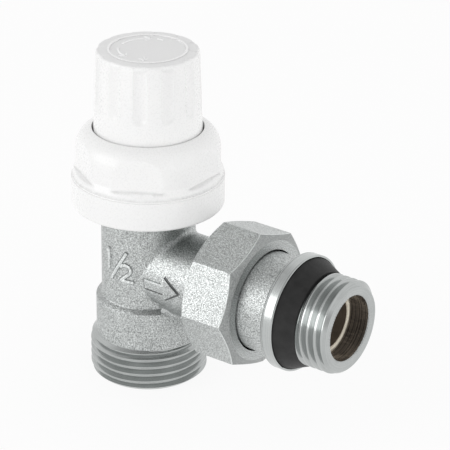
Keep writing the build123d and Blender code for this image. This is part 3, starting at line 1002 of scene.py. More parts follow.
class FluteRing(GeometryTree):
    """Sets round-ended bars in a ring round +Z, each leaning inwards, to cut flutes with."""

    BAR_STEPS = 72
    BAR_SIDES = 64
    TIP_SIZE = 0.0004

    def __init__(self) -> None:
        """Builds the tree."""
        names = ("Reach", "Radius", "Foot", "Length", "Lean")
        kinds = {name: "NodeSocketFloat" for name in names}
        super().__init__("flute ring", {**kinds, "Count": "NodeSocketInt"})
        board, start = self.board, self.start
        low = board.add("ShaderNodeCombineXYZ", {"Z": board.math("SUBTRACT", start["Foot"], start["Radius"])})
        high = board.add("ShaderNodeCombineXYZ", {"Z": board.math("ADD", start["Foot"], start["Length"])})
        axis = board.add("GeometryNodeCurvePrimitiveLine", {"Start": low.outputs[0], "End": high.outputs[0]})
        even = board.add("GeometryNodeResampleCurve", {"Curve": axis.outputs[0], "Count": self.BAR_STEPS})
        spot = board.add("GeometryNodeInputPosition").outputs[0]
        place = board.add("ShaderNodeSeparateXYZ", {0: spot}).outputs
        below = board.math("MINIMUM", board.math("SUBTRACT", place["Z"], start["Foot"]), 0.0)
        share = board.math("DIVIDE", below, start["Radius"])
        left = board.math("MULTIPLY_ADD", board.math("MULTIPLY", share, share), -1.0, 1.0)
        size = board.math("SQRT", board.math("MAXIMUM", left, self.TIP_SIZE))
        outline = {"Resolution": self.BAR_SIDES, "Radius": start["Radius"]}
        section = board.add("GeometryNodeCurvePrimitiveCircle", outline).outputs[0]
        swept = {"Curve": even.outputs[0], "Profile Curve": section, "Fill Caps": True, "Scale": size}
        bar = board.add("GeometryNodeCurveToMesh", swept).outputs[0]
        ring = board.add("GeometryNodeMeshCircle", {"Vertices": start["Count"], "Radius": start["Reach"]})
        inwards = board.math("MULTIPLY", start["Lean"], -1.0)
        turn = board.math("ARCTAN2", place["Y"], place["X"])
        facing = board.add("ShaderNodeCombineXYZ", {"Y": inwards, "Z": turn}).outputs[0]
        copies = {"Points": ring.outputs[0], "Instance": bar, "Rotation": facing}
        self.close(board.add("GeometryNodeInstanceOnPoints", copies).outputs[0])


@dataclass(frozen=True)
class PipeThread:
    """A right-hand pipe thread, cut in a plain wall at its major radius."""

    axis: Axis
    radius: float
    start: float
    end: float
    run_out: float = 0.35
    depth: float = 1.14 * MM
    crest: float = 0.30 * MM
    steps: int = 144

    def cut(self, mesh: bpy.types.Mesh, groove: ScrewGroove) -> bpy.types.Mesh:
        """Cuts the thread's groove in a mesh.

        Args:
            mesh: The closed mesh to cut.
            groove: The tree that sweeps grooves.

        Returns:
            The cut mesh.
        """
        turns = (self.end - self.start) / PIPE_PITCH
        values = {
            "Radius": self.radius,
            "Pitch": PIPE_PITCH,
            "Depth": self.depth,
            "Crest": self.crest,
            "Turns": turns,
            "Run-out": self.run_out / turns,
            "Steps": self.steps,
        }
        cutter = groove.run(bpy.data.meshes.new("helix"), values)
        cutter.transform(self.axis.place(self.start))
        return carve(mesh, cutter)


class BodyZone(Enum):
    """The forged body's zones."""

    BLASTED = "blasted outside"
    INLET_TURNED = "turned inlet and head"
    UNION_TURNED = "turned end of the branch"
    INLET_BORE = "inlet's bore"
    BRANCH_BORE = "branch's bore"
    SHADED_SLOPE = "shaded slope of the shoulder"


class MarkZone(Enum):
    """The zones of a raised mark."""

    # The top takes a painted highlight, the side painted shade.
    TOP = "worn top"
    SIDE = "shaded side"


@dataclass
class ForgedBody:
    """The forged body: threads at its screwed ends, a size mark on its neck, an arrow on its branch."""

    inlet_thread: PipeThread = PipeThread(Axis.STEM, radius=13.2205 * MM, start=-1.9 * MM, end=10.6 * MM)
    union_thread: PipeThread = PipeThread(Axis.OUTLET, radius=13.1205 * MM, start=21.1 * MM, end=29.6 * MM)
    inlet_top: float = 9.65 * MM
    inlet_cone: float = 10.0 * MM
    inlet_bore: float = 9.0 * MM
    head_foot: float = 42.9 * MM
    union_start: float = 20.9 * MM
    passage_start: float = 7.0 * MM
    passage_radius: float = 5.9 * MM
    socket_start: float = 25.1 * MM
    socket_radius: float = 9.9 * MM
    neck_radius: float = 10.6 * MM
    neck_gap: float = 0.03 * MM
    shoulder_edge: tuple[float, float] = (11.85 * MM, 18.5 * MM)
    shoulder_steepness: float = 58.0
    shoulder_fillet: float = 0.5 * MM
    shoulder_path: tuple[float, float] = (12.6 * MM, 20.4 * MM)
    shoulder_outside: float = 13.4 * MM
    shoulder_top: float = 21.3 * MM
    shoulder_start: float = 36.5
    shoulder_sweep: float = 287.0
    slope_heights: tuple[float, float] = (18.3 * MM, 19.4 * MM)
    slope_radius: float = 12.0 * MM
    mark_width: float = 1.10 * MM
    mark_height: float = 0.30 * MM
    mark_step: float = 0.25 * MM
    # The foot lines are painted shade lines, shifted sideways to one side of each figure.
    foot_width: float = 0.30 * MM
    foot_height: float = 0.06 * MM
    foot_shift: float = 0.12 * MM
    branch_radius: float = 9.3 * MM
    arrow_relief: float = 0.30 * MM
    arrow_root: float = 0.5 * MM
    arrow_height: float = 26.25 * MM
    arrow_line: float = 0.85 * MM

    def build(self, groove: ScrewGroove, stroke: RaisedStroke, turning: TurnedCut) -> None:
        """Builds and dresses the body and its raised marks.

        Args:
            groove: The tree that sweeps thread grooves.
            stroke: The tree that sweeps raised strokes.
            turning: The tree that sweeps turned cuts.
        """
        blasted = BlastedNickel().make("body_blasted_nickel")
        # Darker blasted nickel: painted shade on the shoulder's slope and on the size mark's sides.
        shaded = BlastedNickel(tone=0.44).make("shaded_blasted_nickel")
        # Bored brass: painted shade inside the bores.
        inlet_bore = TurnedMetal(Axis.STEM, BORE_BRASS, DULL_BORE_BRASS)
        branch_bore = TurnedMetal(Axis.OUTLET, BORE_BRASS, DULL_BORE_BRASS)
        finishes = {
            BodyZone.BLASTED: blasted,
            BodyZone.INLET_TURNED: TurnedMetal(Axis.STEM).make("inlet_turned_nickel"),
            BodyZone.UNION_TURNED: TurnedMetal(Axis.OUTLET).make("union_turned_nickel"),
            BodyZone.INLET_BORE: inlet_bore.make("inlet_bored_brass"),
            BodyZone.BRANCH_BORE: branch_bore.make("branch_bored_brass"),
            BodyZone.SHADED_SLOPE: shaded,
        }
        mesh = self.cut_shoulder(merged_copy("valve_body"), turning)
        mesh = self.inlet_thread.cut(mesh, groove)
        mesh = self.union_thread.cut(mesh, groove)
        paint(mesh, finishes, self.zone)
        settle("forged_body", smooth(mesh, sharp_above=16.5), "valve", ("valve_body",))
        # Near-black blasted nickel: painted shade, drawn as thin lines round the marks' feet.
        foot = BlastedNickel(tone=0.16, roughness=(0.5, 0.6)).make("mark_foot_painted_shade")
        # Lighter blasted nickel: a painted highlight on the size mark's tops and the arrow's upper edges.
        painted_highlight = BlastedNickel(tone=0.74, contrast=0.30).make("mark_painted_highlight_nickel")
        self.add_size_mark(stroke, {MarkZone.TOP: painted_highlight, MarkZone.SIDE: shaded}, foot)
        self.add_arrow(blasted)
        self.add_arrow_lines(stroke, painted_highlight, foot)

    def cut_shoulder(self, mesh: bpy.types.Mesh, turning: TurnedCut) -> bpy.types.Mesh:
        """Cuts the slope between neck and barrel to a steep shoulder with a crisp edge, up to the branch.

        Args:
            mesh: The body's closed mesh.
            turning: The tree that sweeps turned cuts.

        Returns:
            The cut mesh.
        """
        steep, fillet = math.radians(self.shoulder_steepness), self.shoulder_fillet
        wall, outside, top = self.neck_radius + self.neck_gap, self.shoulder_outside, self.shoulder_top
        foot = self.shoulder_edge[1] + (self.shoulder_edge[0] - wall) / math.tan(steep)
        out, up = wall + fillet, foot + fillet * math.tan(steep / 2)
        turns = [math.pi + steep * i / ROUND_STEPS for i in range(ROUND_STEPS + 1)]
        curve = [(out + fillet * math.cos(turn), up + fillet * math.sin(turn)) for turn in reversed(turns)]
        reach = (outside - curve[0][0]) / math.tan(steep)
        corners = [(outside, curve[0][1] - reach), *curve, (wall, top), (outside, top)]
        radius, height = self.shoulder_path
        values = {
            "Radius": radius,
            "Start": math.radians(self.shoulder_start),
            "Sweep": math.radians(self.shoulder_sweep),
            "Taper": 0.004,
            "Whole": False,
            "Steps": 180,
        }
        cutter = turning.shape([(corner[0] - radius, corner[1] - height) for corner in corners], values)
        cutter.transform(Axis.STEM.place(height))
        return carve(mesh, cutter)

    def zone(self, centre: Vector, normal: Vector) -> BodyZone:
        """Tells a face's zone on the body.

        Args:
            centre: The face's centre.
            normal: The face's normal.

        Returns:
            The zone.
        """
        flat, sloping = 0.999, 0.6
        height, from_stem = Axis.STEM.along_and_out(centre)
        reach, from_outlet = Axis.OUTLET.along_and_out(centre)
        if reach > self.passage_start and from_outlet < self.passage_radius:
            return BodyZone.BRANCH_BORE
        if reach > self.socket_start and from_outlet < self.socket_radius:
            return BodyZone.BRANCH_BORE
        if reach > self.union_start:
            return BodyZone.UNION_TURNED
        if from_stem < self.inlet_bore or (from_stem < self.inlet_cone and abs(normal.z) < flat):
            return BodyZone.INLET_BORE
        if height < self.inlet_top or height > self.head_foot:
            return BodyZone.INLET_TURNED
        # The shoulder's slope gets the darker nickel: painted shade.
        low, high = self.slope_heights
        if low < height < high and normal.z > sloping and from_stem < self.slope_radius:
            return BodyZone.SHADED_SLOPE
        return BodyZone.BLASTED

    @staticmethod
    def mark_zone(centre: Vector, normal: Vector) -> MarkZone:
        """Tells a face's zone on a mark round the stem's axis.

        Args:
            centre: The face's centre.
            normal: The face's normal.

        Returns:
            The zone.
        """
        facing_out = 0.8
        outward = Vector((centre.x, centre.y, 0.0)).normalized()
        return MarkZone.SIDE if normal.dot(outward) < facing_out else MarkZone.TOP

    @staticmethod
    def size_figures() -> list[list[tuple[float, float]]]:
        """Draws the figures of the half-inch size mark.

        Returns:
            The lines' points, round the neck and up, in metres.
        """
        one = [(-3.7, 31.5), (-2.95, 32.5), (-2.98, 27.6)]
        slash = [(-2.2, 25.5), (2.1, 32.7)]
        turns = (2.75, 2.2, 1.57, 0.9, 0.3, -0.3, -0.75)
        bowl = [(1.75 + 1.3 * math.cos(turn), 28.5 + 1.2 * math.sin(turn)) for turn in turns]
        two = [*bowl, (0.55, 25.75), (3.75, 25.7)]
        return [[(u * MM, v * MM) for u, v in line] for line in (one, slash, two)]

    def add_size_mark(
        self, stroke: RaisedStroke, finishes: dict[MarkZone, bpy.types.Material], foot: bpy.types.Material
    ) -> None:
        """Raises the half-inch size mark on the front of the neck.

        Args:
            stroke: The tree that sweeps raised strokes.
            finishes: The finishes of the strokes by zone.
            foot: The finish of the painted shade line round their feet.
        """
        lines = self.size_figures()
        values = {
            "Width": self.mark_width,
            "Height": self.mark_height,
            "Step": self.mark_step,
            "Radius": self.neck_radius,
            "Wrapped": True,
            "Material": finishes[MarkZone.TOP],
        }
        mesh = stroke.draw(lines, values)
        paint(mesh, finishes, self.mark_zone)
        settle("size_mark", smooth(mesh, sharp_above=35.0), "valve")
        # Each figure again as a wide, low stroke shifted sideways: a painted shade line at its foot.
        values |= {"Width": self.mark_width + 2 * self.foot_width, "Height": self.foot_height, "Material": foot}
        lines = [[(u - self.foot_shift, v) for u, v in line] for line in lines]
        mesh = stroke.draw(lines, values)
        settle("size_mark_painted_shade", smooth(mesh, sharp_above=50.0), "valve")

    def add_arrow(self, face: bpy.types.Material) -> None:
        """Raises the flow arrow on the side of the branch, in strips that follow its round.

        Args:
            face: The finish of the arrow.
        """
        tail, head = [(6.3, -1.05), (11.4, -1.05)], [(11.4, -2.65), (15.3, 0.0), (11.4, 2.6)]
        outline = [*tail, *head, (11.4, 1.05), (6.3, 1.05)]
        strips, strip_height = range(-4, 5), 0.55
        shape = bmesh.new()
        shape.faces.new([shape.verts.new((x * MM, 0.0, self.arrow_height + z * MM)) for x, z in outline])
        for strip in strips:
            level = (0.0, 0.0, self.arrow_height + strip_height * strip * MM)
            whole = [*shape.verts, *shape.edges, *shape.faces]
            bmesh.ops.bisect_plane(shape, geom=whole, plane_co=level, plane_no=(0.0, 0.0, 1.0))
        front = bmesh.ops.extrude_face_region(shape, geom=list(shape.faces))["geom"]
        raised = {vertex for vertex in front if isinstance(vertex, bmesh.types.BMVert)}
        for vertex in shape.verts:
            out = self.branch_radius + (self.arrow_relief if vertex in raised else -self.arrow_root)
            angle = (vertex.co.z - OUTLET_HEIGHT) / self.branch_radius
            vertex.co = (vertex.co.x, -out * math.cos(angle), OUTLET_HEIGHT + out * math.sin(angle))
        bmesh.ops.recalc_face_normals(shape, faces=shape.faces)
        mesh = bpy.data.meshes.new("arrow")
        shape.to_mesh(mesh)
        shape.free()
        coat(mesh, face)
        settle("flow_arrow", smooth(mesh, sharp_above=30.0), "valve")

    def add_arrow_lines(self, stroke: RaisedStroke, top: bpy.types.Material, foot: bpy.types.Material) -> None:
        """Draws a painted highlight along the arrow's upper edges and a painted shade line at its foot.

        Args:
            stroke: The tree that sweeps raised strokes.
            top: The finish of the painted highlight on the upper edges.
            foot: The finish of the painted shade line.
        """
        drop = OUTLET_HEIGHT - self.arrow_height
        values = {
            "Width": self.arrow_line,
            "Height": self.foot_height,
            "Step": self.mark_step,
            "Radius": self.branch_radius,
            "Wrapped": True,
            "Material": foot,
        }
        raised = {"Radius": self.branch_radius + self.arrow_relief, "Material": top}
        # The shade lines are painted shade at the arrow's foot; the lit lines are a painted highlight on its
        # upper edges.
        shade = [[(6.15, 1.0), (6.15, -1.4), (11.3, -1.4)], [(11.5, 2.85), (15.7, 0.0), (11.4, -2.9)]]
        lit = [[(6.35, 0.85), (11.35, 0.85), (11.35, 2.4)]]
        for name, lines, changes in (("flow_arrow_painted_shade", shade, {}), ("flow_arrow_painted_highlight", lit, raised)):
            flat = [[(drop - z * MM, x * MM) for x, z in line] for line in lines]
            mesh = stroke.draw(flat, values | changes)
            mesh.transform(Axis.OUTLET.place(0.0))
            settle(name, smooth(mesh, sharp_above=50.0), "valve")


class NutZone(Enum):
    """The union nut's zones."""

    BLASTED = "blasted outside"
    THREAD = "thread within"
    CHAMFER = "turned chamfers"
    EDGE = "broken outer edges"


class TailZone(Enum):
    """The tailpiece's zones."""

    BLASTED = "blasted neck"
    TURNED = "turned ends"
    BORE = "wide bore"
    STEP = "step of the bore"
    DEEP_BORE = "bore behind the step"


@dataclass
class UnionJoint:
    """The union nut, the tailpiece with its thread, the ring and the cone seal."""

    outlet_thread: PipeThread = PipeThread(Axis.OUTLET, radius=10.4775 * MM, start=44.7 * MM, end=56.6 * MM)
    nut_bevel: float = 0.30 * MM
    nut_inside: float = 13.3 * MM
    nut_thread_end: float = 30.25 * MM
    ring_bevel: float = 0.25 * MM
    ring_radius: float = 13.05 * MM
    ring_line: float = 40.75 * MM
    ring_line_depth: float = 0.10 * MM
    mouth_radius: float = 7.37 * MM
    mouth_reach: float = 54.6 * MM
    mouth_bevel: float = 0.32 * MM
    step_span: tuple[float, float] = (49.0 * MM, 50.2 * MM)
    step_radius: float = 7.36 * MM
    deep_end: float = 49.6 * MM
    deep_radius: float = 7.3 * MM
    bore_radius: float = 7.5 * MM
    neck_span: tuple[float, float] = (30.05 * MM, 39.96 * MM)
    neck_radius: float = 10.9 * MM

    def build(self, groove: ScrewGroove, turning: TurnedCut) -> None:
        """Builds and dresses the union's pieces.

        Args:
            groove: The tree that sweeps thread grooves.
            turning: The tree that sweeps turned cuts.
        """
        self.build_nut()
        self.build_tailpiece(groove, turning)
        self.build_ring(turning)
        rubber = MouldedRubber().make("seal_rubber")
        dress("cone_seal", rubber)
        dress("union_o_ring", rubber)

    def build_nut(self) -> None:
        """Builds the nut with broken edges, blasted outside and threaded within."""
        mesh = broken_edges("union_nut", self.nut_bevel)
        # Darker blasted nickel on the front chamfers: a painted dark reflection.
        dark_reflection_chamfer = BlastedNickel(tone=0.37, contrast=0.22, grain_depth=0.03 * MM)
        # Lighter blasted nickel on the broken edges between facets and chamfers: a painted highlight.
        edge = BlastedNickel(tone=0.78, contrast=0.20, grain_depth=0.02 * MM)
        finishes = {
            NutZone.BLASTED: BlastedNickel(tone=0.55, contrast=0.38).make("nut_blasted_nickel"),
            NutZone.THREAD: TurnedMetal(Axis.OUTLET, thread_pitch=PIPE_PITCH).make("nut_thread_nickel"),
            NutZone.CHAMFER: dark_reflection_chamfer.make("nut_chamfer_painted_reflection"),
            NutZone.EDGE: edge.make("nut_edge_painted_highlight"),
        }
        paint(mesh, finishes, self.nut_zone)
        settle("eight_sided_nut", smooth(mesh), "nut", ("union_nut",))

    def nut_zone(self, centre: Vector, normal: Vector) -> NutZone:
        """Tells a face's zone on the nut.

        Args:
            centre: The face's centre.
            normal: The face's normal.

        Returns:
            The zone.
        """
        edge_from, chamfer_from, end_face_from = 0.15, 0.75, 0.98
        reach, out = Axis.OUTLET.along_and_out(centre)
        if out < self.nut_inside:
            return NutZone.THREAD if reach < self.nut_thread_end else NutZone.BLASTED
        if chamfer_from < abs(normal.x) < end_face_from:
            return NutZone.CHAMFER
        return NutZone.EDGE if edge_from < abs(normal.x) <= chamfer_from else NutZone.BLASTED

    def build_tailpiece(self, groove: ScrewGroove, turning: TurnedCut) -> None:
        """Builds the tailpiece with its outlet thread and the broken edge of its mouth.

        Args:
            groove: The tree that sweeps thread grooves.
            turning: The tree that sweeps turned cuts.
        """
        # The bore's dark brass is painted shade inside it.
        bore = TurnedMetal(Axis.OUTLET, BORE_BRASS, DULL_BORE_BRASS, metallic=0.6, lines=3200.0)
        # The step's cream brass is a painted highlight.
        step = TurnedMetal(Axis.OUTLET, CREAM_BRASS, DULL_CREAM_BRASS, metallic=0.3)
        deep = TurnedMetal(Axis.OUTLET, DEEP_BRASS, DULL_DEEP_BRASS, metallic=0.5)
        finishes = {
            TailZone.BLASTED: BlastedNickel(contrast=0.42).make("tail_blasted_nickel"),
            TailZone.TURNED: TurnedMetal(Axis.OUTLET).make("tail_turned_nickel"),
            TailZone.BORE: bore.make("tail_bored_brass"),
            TailZone.STEP: step.make("tail_step_brass"),
            TailZone.DEEP_BORE: deep.make("tail_deep_brass"),
        }
        mesh = self.outlet_thread.cut(merged_copy("tailpiece"), groove)
        mouth = turning.line(self.mouth_radius, self.mouth_bevel, corners=4)
        mouth.transform(Axis.OUTLET.place(self.mouth_reach))
        mesh = carve(mesh, mouth)
        paint(mesh, finishes, self.tail_zone)
        settle("threaded_tailpiece", smooth(mesh, sharp_above=16.5), "tail", ("tailpiece",))

    def tail_zone(self, centre: Vector, normal: Vector) -> TailZone:
        """Tells a face's zone on the tailpiece.

        Args:
            centre: The face's centre.
            normal: The face's normal.

        Returns:
            The zone.
        """
        facing_out = 0.5
        reach, out = Axis.OUTLET.along_and_out(centre)
        if out < self.step_radius and self.step_span[0] < reach < self.step_span[1] and normal.x > facing_out:
            return TailZone.STEP
        if out < self.deep_radius and reach < self.deep_end:
            return TailZone.DEEP_BORE
        if out < self.bore_radius and abs(normal.x) < facing_out:
            return TailZone.BORE
        on_neck = self.neck_span[0] < reach < self.neck_span[1] and out > self.neck_radius
        return TailZone.BLASTED if on_neck else TailZone.TURNED

    def build_ring(self, turning: TurnedCut) -> None:
        """Builds the bright ring with broken edges and a fine turned line.

        Args:
            turning: The tree that sweeps turned cuts.
        """
        cutter = turning.line(self.ring_radius, self.ring_line_depth)
        cutter.transform(Axis.OUTLET.place(self.ring_line))
        mesh = carve(broken_edges("backing_ring", self.ring_bevel), cutter)
        finish = TurnedMetal(Axis.OUTLET, nickel(0.56), nickel(0.47), roughness=(0.16, 0.26))
        coat(mesh, finish.make("ring_bright_nickel"))
        settle("bright_ring", smooth(mesh), "tail", ("backing_ring",))


class KnobZone(Enum):
    """The knob's zones."""

    SIDE = "glossy sides"
    # FACE is a rougher top, a darker grey than the sides: painted shade.
    FACE = "matte top face"
    RAISED_RING = "ring raised on the top face"


@dataclass
class HandCap:
    """The white cap: collar, fluted knob and the knob's raised turning marks."""

    face_height: float = 77.12 * MM
    face_margin: float = 0.1 * MM
    crease_radius: float = 17.0 * MM
    crease_height: float = 48.1 * MM
    crease_depth: float = 0.25 * MM
    hole_height: float = 59.22 * MM
    flute_count: int = 12
    flute_reach: float = 13.98 * MM
    flute_radius: float = 2.6 * MM
    flute_foot: float = 6.4 * MM
    flute_length: float = 16.0 * MM
    flute_lean: float = 2.241
    top_radius: float = 11.3 * MM
    rim_fillet: float = 0.6 * MM
    rim_depth: float = 0.9 * MM
    rim_foot: float = 1.85 * MM
    rim_inside: float = 9.9 * MM
    rim_slope: float = 10.45 * MM
    rim_sink: float = 0.02 * MM
    rim_inset: float = 0.13 * MM
    mark_width: float = 0.50 * MM
    mark_height: float = 0.18 * MM
    mark_step: float = 0.3 * MM

    def build(self, stroke: RaisedStroke, turning: TurnedCut, flutes: FluteRing) -> None:
        """Builds the collar with its crease and the knob with its flutes and turning marks.

        Args:
            stroke: The tree that sweeps raised strokes.
            turning: The tree that sweeps turned cuts.
            flutes: The tree that sets bars in a ring.
        """
        cutter = turning.line(self.crease_radius, self.crease_depth)
        cutter.transform(Axis.STEM.place(self.crease_height))
        mesh = carve(merged_copy("cap_collar"), cutter)
        coat(mesh, MouldedPlastic().make("collar_white_plastic"))
        mesh = smooth(mesh, sharp_above=32.0)
        settle("creased_collar", mesh, "valve", ("cap_collar",))
        # The raised marks and ring are a brighter white than the knob: painted highlight.
        raised = MouldedPlastic(grey(0.96), grey(0.94)).make("mark_painted_highlight_plastic")
        self.build_knob(flutes, turning, raised)
        self.add_marks(stroke, raised)

    def build_knob(self, flutes: FluteRing, turning: TurnedCut, raised: bpy.types.Material) -> None:
        """Builds the knob with its flutes cut down to their full length and its rim whole.

        Args:
            flutes: The tree that sets bars in a ring.
            turning: The tree that sweeps turned cuts.
            raised: The finish of what is raised on the top face.
        """
        values = {
            "Reach": self.flute_reach,
            "Radius": self.flute_radius,
            "Foot": self.flute_foot,
            "Length": self.flute_length,
            "Lean": math.radians(self.flute_lean),
            "Count": self.flute_count,
        }
        cutter = flutes.run(bpy.data.meshes.new("bars"), values)
        cutter.transform(Axis.STEM.place(self.hole_height))
        mesh = self.close_rim(carve(merged_copy("cap_knob"), cutter), turning)
        # The top face is rougher, and a darker grey than the sides: painted shade.
        matte_and_painted_shade = MouldedPlastic(
            colour=grey(0.855),
            shade=grey(0.835),
            roughness=(0.45, 0.60),
            waves=900.0,
            wave_depth=0.02 * MM,
            coat=0.0,
        )
        finishes = {
            KnobZone.SIDE: MouldedPlastic(waves=150.0).make("knob_white_plastic"),
            KnobZone.FACE: matte_and_painted_shade.make("knob_face_painted_shade_plastic"),
            KnobZone.RAISED_RING: raised,
        }
        paint(mesh, finishes, self.knob_zone)
        settle("fluted_knob", smooth(mesh, sharp_above=25.0), "knob", ("cap_knob",))

    def close_rim(self, mesh: bpy.types.Mesh, turning: TurnedCut) -> bpy.types.Mesh:
        """Makes the flutes shallow at the knob's top, with a rim that slopes down into them.

        Args:
            mesh: The knob's closed mesh.
            turning: The tree that sweeps turned cuts.

        Returns:
            The mesh with its rim.
        """
        lean, fillet = math.radians(self.flute_lean), self.rim_fillet
        edge = self.top_radius - self.rim_inset
        middle = edge - fillet * (1 - math.sin(lean)) / math.cos(lean)
        turns = [math.pi / 2 - (math.pi / 2 - lean) * i / ROUND_STEPS for i in range(ROUND_STEPS + 1)]
        arc = [(fillet * math.cos(turn), fillet * (math.sin(turn) - 1)) for turn in turns]
        side = (edge - middle + self.rim_depth * math.tan(lean), -self.rim_depth)
        inside, slope = self.rim_inside - middle, self.rim_slope - middle
        section = [(inside, -self.rim_foot), (inside, 0.0), *arc, side, (slope, -self.rim_foot)]
        rim = turning.ring(middle, section)
        rim.transform(Axis.STEM.place(self.face_height - self.rim_sink))
        return carve(mesh, rim, Joining.ADD)

    def knob_zone(self, centre: Vector, normal: Vector) -> KnobZone:
        """Tells a face's zone on the knob.

        Args:
            centre: The face's centre.
            normal: The face's normal.

        Returns:
            The zone.
        """
        facing_up = 0.7
        if normal.z < facing_up or centre.z < self.face_height - self.face_margin:
            return KnobZone.SIDE
        return KnobZone.RAISED_RING if centre.z > self.face_height + self.face_margin else KnobZone.FACE

    def add_marks(self, stroke: RaisedStroke, raised: bpy.types.Material) -> None:
        """Raises the turning marks on the knob's face.

        Args:
            stroke: The tree that sweeps raised strokes.
            raised: The finish of the marks.
        """
        values = {
            "Width": self.mark_width,
            "Height": self.mark_height,
            "Step": self.mark_step,
            "Radius": 1.0,
            "Wrapped": False,
            "Material": raised,
        }
        mesh = stroke.draw(self.mark_lines(), values)
        mesh.transform(Axis.STEM.place(self.face_height))
        settle("turning_marks", smooth(mesh, sharp_above=50.0), "knob")

    @staticmethod
    def mark_lines() -> list[list[tuple[float, float]]]:
        """Draws two turning arrows, with a plus and a minus sign.

        Returns:
            The lines' points on the knob's face, in metres.
        """

        def at(radius: float, angle: float) -> tuple[float, float]:
            """Gives a point of the face by radius in millimetres and angle in degrees."""
            return radius * MM * math.cos(math.radians(angle)), radius * MM * math.sin(math.radians(angle))

        inner, middle, outer = 5.4, 6.4, 7.4
        back_arc = [at(middle, 122.0 + 5.5 * i) for i in range(13)]
        front_arc = [at(middle, 214.0 + 4.8 * i) for i in range(11)]
        tips = ((122.0, 133.0), (262.0, 251.0))
        heads = [[at(outer, back), at(middle, tip), at(inner, back)] for tip, back in tips]
        plus = [[at(5.2, 300.0), at(outer, 300.0)], [at(middle, angle) for angle in (290.5, 300.0, 309.5)]]
        minus = [[at(middle, angle) for angle in (95.0, 102.0, 109.0)]]
        return [back_arc, front_arc, *heads, *plus, *minus]


@dataclass
class ValveInsert:
    """The pieces inside the body: insert, gland, stem, spring and disc."""

    brass_nodes: tuple[str, ...] = ("insert_housing", "gland_nut", "disc_holder", "disc_washer", "disc_nut")
    steel_nodes: tuple[str, ...] = ("stem", "spring_washer", "stem_clip")
    rubber_nodes: tuple[str, ...] = ("insert_o_ring", "gland_o_ring_lower", "gland_o_ring_upper", "disc_seal")
    packing_nodes: tuple[str, ...] = ("gland_washer",)
    stem_travel: float = 3.0 * MM

    def build(self) -> None:
        """Builds the spring and dresses the insert's other pieces."""
        self.build_spring()
        packing = MouldedPlastic(PACKING_WHITE, coat=0.0, roughness=(0.42, 0.55))
        finishes: dict[tuple[str, ...], tuple[str, Finish]] = {
            self.brass_nodes: ("insert_brass", TurnedMetal(Axis.STEM, BRASS, DULL_BRASS)),
            self.steel_nodes: ("stem_steel", TurnedMetal(Axis.STEM, STEEL, DULL_STEEL)),
            self.rubber_nodes: ("insert_rubber", MouldedRubber()),
            self.packing_nodes: ("packing_white", packing),
        }
        for nodes, (name, finish) in finishes.items():
            material = finish.make(name)
            for node in nodes:
                dress(node, material)

    def build_spring(self) -> None:
        """Builds the return spring in steel, on a mesh of its own."""
        mesh = merged_copy("return_spring")
        coat(mesh, TurnedMetal(Axis.STEM, STEEL, DULL_STEEL).make("spring_steel"))
        mesh = smooth(mesh, sharp_above=40.0)
        spring = settle("coiled_spring", mesh, "valve", ("return_spring",))
        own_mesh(spring)


@dataclass(frozen=True)
class Softbox:
    """A soft lamp, hidden from the camera and, unless it is mirrored, from reflections."""

    name: str
    place: tuple[float, float, float]
    width: float
    height: float
    power: float
    mirrored: bool = True

    def hang(self, target: tuple[float, float, float]) -> None:
        """Hangs the lamp in its place.

        Args:
            target: The point that it faces.
        """
        lamp = bpy.data.lights.new(self.name, "AREA")
        lamp.shape = "RECTANGLE"
        lamp.size = self.width
        lamp.size_y = self.height
        lamp.energy = self.power
        holder = bpy.data.objects.new(self.name, lamp)
        bpy.context.scene.collection.objects.link(holder)
        holder.location = self.place
        facing = Vector(self.place) - Vector(target)
        holder.rotation_euler = facing.to_track_quat("Z", "Y").to_euler()
        holder.visible_camera = False
        holder.visible_glossy = self.mirrored


